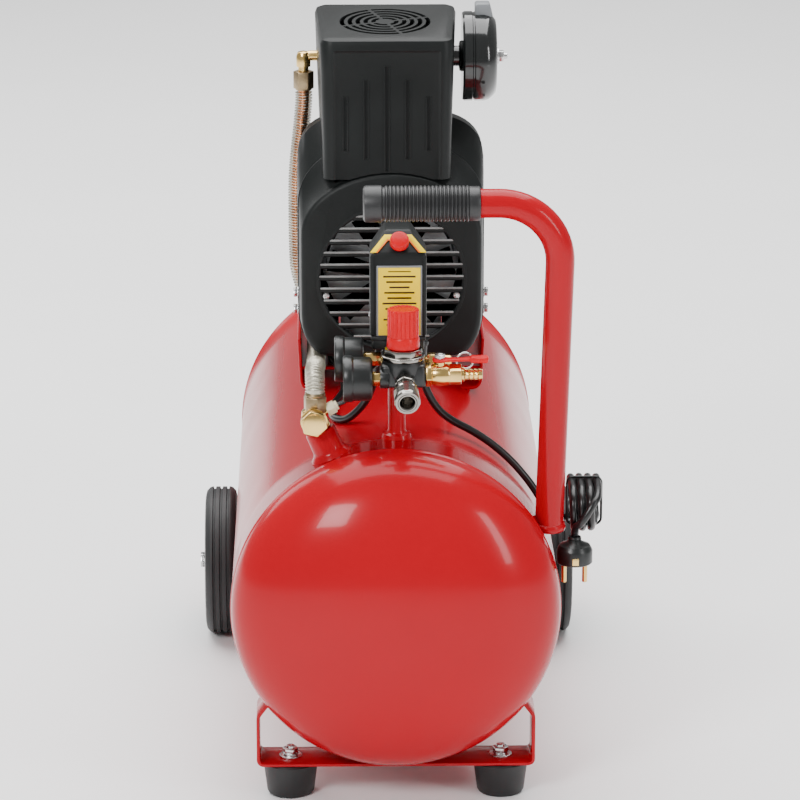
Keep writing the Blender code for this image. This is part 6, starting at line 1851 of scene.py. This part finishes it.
def build_motor():
    """Finned motor housing on its foot, and the vented cover of the rear fan."""
    sizes = bpy.context.scene.compressor_sizes
    low, high = HOUSING_LOW, HOUSING_HIGH
    outer = high.x
    root, bore = outer - 0.0052, outer - 0.0105
    outline = []
    fins = sizes.motor_fins
    for index in range(fins * 6):
        angle = 2 * math.pi * index / (fins * 6)
        phase = index % 6
        flat = abs(angle - math.pi * 1.5) < math.radians(36)
        reach = root if flat else (root, root, outer - 0.0006, outer, outer - 0.0006, root)[phase]
        outline.append((reach * math.cos(angle), low.y + 0.001, CRANK_AXIS + reach * math.sin(angle)))
    housing = slab("motor_case", outline, (0, high.y - low.y - 0.002, 0), 0.0)
    hollow = round_bar("motor_hollow", bore, 0.006, 0.3, (0, low.y, CRANK_AXIS), ALONG, 72)
    shaft_hole = round_bar("motor_shaft_hole", 0.011, -0.01, 0.02, (0, low.y, CRANK_AXIS), ALONG, 32)
    carve(housing, hollow, shaft_hole)
    foot = block(
        "motor_pad", (-0.040, low.y + 0.020, low.z), (0.040, high.y - 0.010, CRANK_AXIS - root + 0.010),
        0.0015,
    )
    carve(foot, round_bar("pad_cut", root - 0.003, -0.3, 0.3, (0, 0, CRANK_AXIS), ALONG, 72))
    flange = turned(
        "motor_flange",
        [
            (bore, low.y + 0.0002), (root + 0.002, low.y + 0.0002), (root + 0.002, low.y + 0.006),
            (bore, low.y + 0.006),
        ],
        (0, 0, CRANK_AXIS), ALONG, 72, ring=True, bevel=0.0008,
    )
    ears = []
    for index in range(4):
        angle = math.pi / 4 + math.pi / 2 * index
        at = (
            math.cos(angle) * (root + 0.001), low.y + 0.006, CRANK_AXIS + math.sin(angle) * (root + 0.001),
        )
        ears.append(
            round_bar(f"tie_boss_{index}", 0.0052, 0, high.y - low.y - 0.008, at, ALONG, 24, bevel=0.0006)
        )
    dress(
        merge(housing, foot, flange, *ears), "cast", replaces=["motor_housing"],
        smooth=28,
    )
    cap_low, cap_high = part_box("motor_cover")
    radius = cap_high.x
    cap = turned(
        "fan_cover",
        [
            (0, cap_high.y - 0.0025), (radius - 0.0120, cap_high.y - 0.0025),
            (radius - 0.0045, cap_high.y - 0.0070), (radius - 0.0025, cap_high.y - 0.0130),
            (radius - 0.0025, cap_low.y),
            (radius - 0.0004, cap_low.y), (radius, cap_low.y + 0.0008), (radius, cap_low.y + 0.0060),
            (radius - 0.0008, cap_low.y + 0.0070), (radius - 0.0008, cap_high.y - 0.0120),
            (radius - 0.0030, cap_high.y - 0.0050), (radius - 0.0080, cap_high.y - 0.0010),
            (radius - 0.0120, cap_high.y), (0, cap_high.y),
        ],
        (0, 0, CRANK_AXIS), ALONG, 96,
    )
    for row in range(-4, 5):
        height = row * 0.0125
        reach = math.sqrt(0.060**2 - height**2)
        vent = block(
            f"vent_{row}", (-reach, cap_high.y - 0.008, CRANK_AXIS + height - 0.0032),
            (reach, cap_high.y + 0.01, CRANK_AXIS + height + 0.0032), 0.0,
        )
        carve(cap, vent)
    bar = block(
        "vent_bar", (-0.0035, cap_high.y - 0.0042, CRANK_AXIS - 0.058),
        (0.0035, cap_high.y - 0.0014, CRANK_AXIS + 0.058), 0.0005,
    )
    dress(merge(cap, bar), "cover", replaces=["motor_cover"], smooth=34)
    screws = [
        screw(
            f"cap_screw_{i}", (math.cos(a) * radius, cap_low.y + 0.010, CRANK_AXIS + math.sin(a) * radius),
            (math.cos(a), 0, math.sin(a)), 0.0030,
        )
        for i, a in enumerate((0.5, 2.64, -0.5, 3.64))
    ]
    dress(merge(*screws), "steel")


def build_saddle():
    """The folded red sheets under the pump, their plate, bolts and weld beads."""
    low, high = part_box("pump_saddle")
    wall_x = high.x - SHEET / 2
    foot_z = TANK_AXIS + math.sqrt(TANK_RADIUS**2 - 0.072**2) + 0.0015
    sheets = []
    for side in (-1, 1):
        path = rounded([(0.0605, 0, foot_z), (wall_x - 0.002, 0, foot_z), (wall_x, 0, high.z)], 0.009, 7)
        sheets.append(
            bent_sheet(f"saddle_side_{side}", [(side * p.x, p.z) for p in path], low.y, high.y, SHEET)
        )
    plate = block(
        "saddle_plate", (-wall_x, low.y + 0.004, TOP + 0.0012), (wall_x, high.y, TOP + 0.0042), 0.0006, 1,
    )
    saddle = merge(*sheets, plate)
    dress(saddle, "enamel", replaces=["pump_saddle"], smooth=40)
    bolts = []
    for x in (-0.030, 0.030):
        for y in (HOUSING_LOW.y + 0.030, HOUSING_HIGH.y - 0.020):
            bolts.append(
                prism(
                    f"saddle_bolt_{x}_{y}", 6, 0.0060, TOP - 0.0050, TOP + 0.0010, (x, y, 0), bevel=0.0006,
                )
            )
    dress(merge(*bolts), "steel")
    for side in (-1, 1):
        bead = tube(
            f"saddle_weld_{side}",
            [
                on_tank(side * math.asin(0.0740 / TANK_RADIUS), 0.0006, low.y + (high.y - low.y) * t / 20)
                for t in range(21)
            ],
            0.0016, 3,
        )
        dress(bead, "enamel", smooth=60)


def build_inside():
    """New finishes on the working parts whose frame shapes are already right."""
    finishes = {
        "crankcase": "cast", "cylinder": "cast", "cylinder_head": "cast", "piston": "cast",
        "connecting_rod": "cast",
        "crank_front": "steel", "crankshaft": "steel", "rotor": "iron", "stator": "winding",
        # The fans' near-black, almost shineless finish is painted shade.
        "front_fan": "dark", "rear_fan": "dark",
    }
    for node, finish in finishes.items():
        redress(node, finish)


# ---------------------------------------------------------------- operators
def operator(word, label, words, work):
    """One undoable operator that runs one builder."""

    def execute(self, context):
        work()
        return {"FINISHED"}

    body = {
        "bl_idname": f"compressor.{word}", "bl_label": label, "bl_options": {"REGISTER", "UNDO"},
        "__doc__": words, "execute": execute,
    }
    return type(f"COMPRESSOR_OT_{word}", (Operator,), body)


OPERATORS = [
    operator("finishes", "Finishes", "Make the finishes from the colours", make_finishes),
    operator("stage", "Stage", "Add the floor, camera and lights", build_stage),
    operator(
        "cords", "Cords", "Add the mains cord with its hank and plug, and the motor cable", build_cords,
    ),
    operator("tank", "Tank", "Add the tank, its sockets and its drain", build_tank),
    operator("supports", "Supports", "Add the foot strap, feet and bolts", build_supports),
    operator("wheels", "Wheels", "Add the wheels, axle bolts and their strap", build_wheels),
    operator("handle", "Handle", "Add the handle and its grip", build_handle),
    operator(
        "check_valve", "Check valve", "Add the check valve, discharge pipe and elbow", build_check_valve,
    ),
    operator("regulator", "Regulator", "Add the manifold, regulator and knob", build_regulator),
    operator("pressure_switch", "Pressure switch", "Add the pressure switch and its knob", build_switch),
    operator("gauges", "Gauges", "Add both pressure gauges", build_gauges),
    operator("outlets", "Outlets", "Add the ball valve and the safety valve", build_outlets),
    operator("coupler", "Coupler", "Add the quick coupler", build_coupler),
    operator("covers", "Pump covers", "Add the front cover and the shroud", build_covers),
    operator("duct", "Head duct", "Add the hood over the cylinder head", build_duct),
    operator("air_filter", "Air filter", "Add the intake filter", build_filter),
    operator("motor", "Motor", "Add the motor housing and fan cover", build_motor),
    operator("saddle", "Saddle", "Add the saddle under the pump", build_saddle),
    operator("inside", "Working parts", "Give the working parts their finishes", build_inside),
]


class COMPRESSOR_PT_parts(Panel):
    """The compressor's sizes, colours and pieces."""

    bl_idname = "COMPRESSOR_PT_parts"
    bl_label = "Air compressor"
    bl_space_type = "VIEW_3D"
    bl_region_type = "UI"
    bl_category = "Compressor"

    def draw(self, context):
        for group in (context.scene.compressor_sizes, context.scene.compressor_colours):
            for name in group.bl_rna.properties.keys():
                if name not in ("rna_type", "name"):
                    self.layout.prop(group, name)
        for each in OPERATORS:
            self.layout.operator(each.bl_idname)


CLASSES = [CompressorSizes, CompressorColours, *OPERATORS, COMPRESSOR_PT_parts]


def register():
    for each in CLASSES:
        bpy.utils.register_class(each)
    bpy.types.Scene.compressor_sizes = PointerProperty(type=CompressorSizes)
    bpy.types.Scene.compressor_colours = PointerProperty(type=CompressorColours)


def unregister():
    del bpy.types.Scene.compressor_colours
    del bpy.types.Scene.compressor_sizes
    for each in reversed(CLASSES):
        bpy.utils.unregister_class(each)


def main():
    register()
    for each in OPERATORS:
        getattr(bpy.ops.compressor, each.bl_idname.split(".")[1])()


if __name__ == "__main__":
    main()
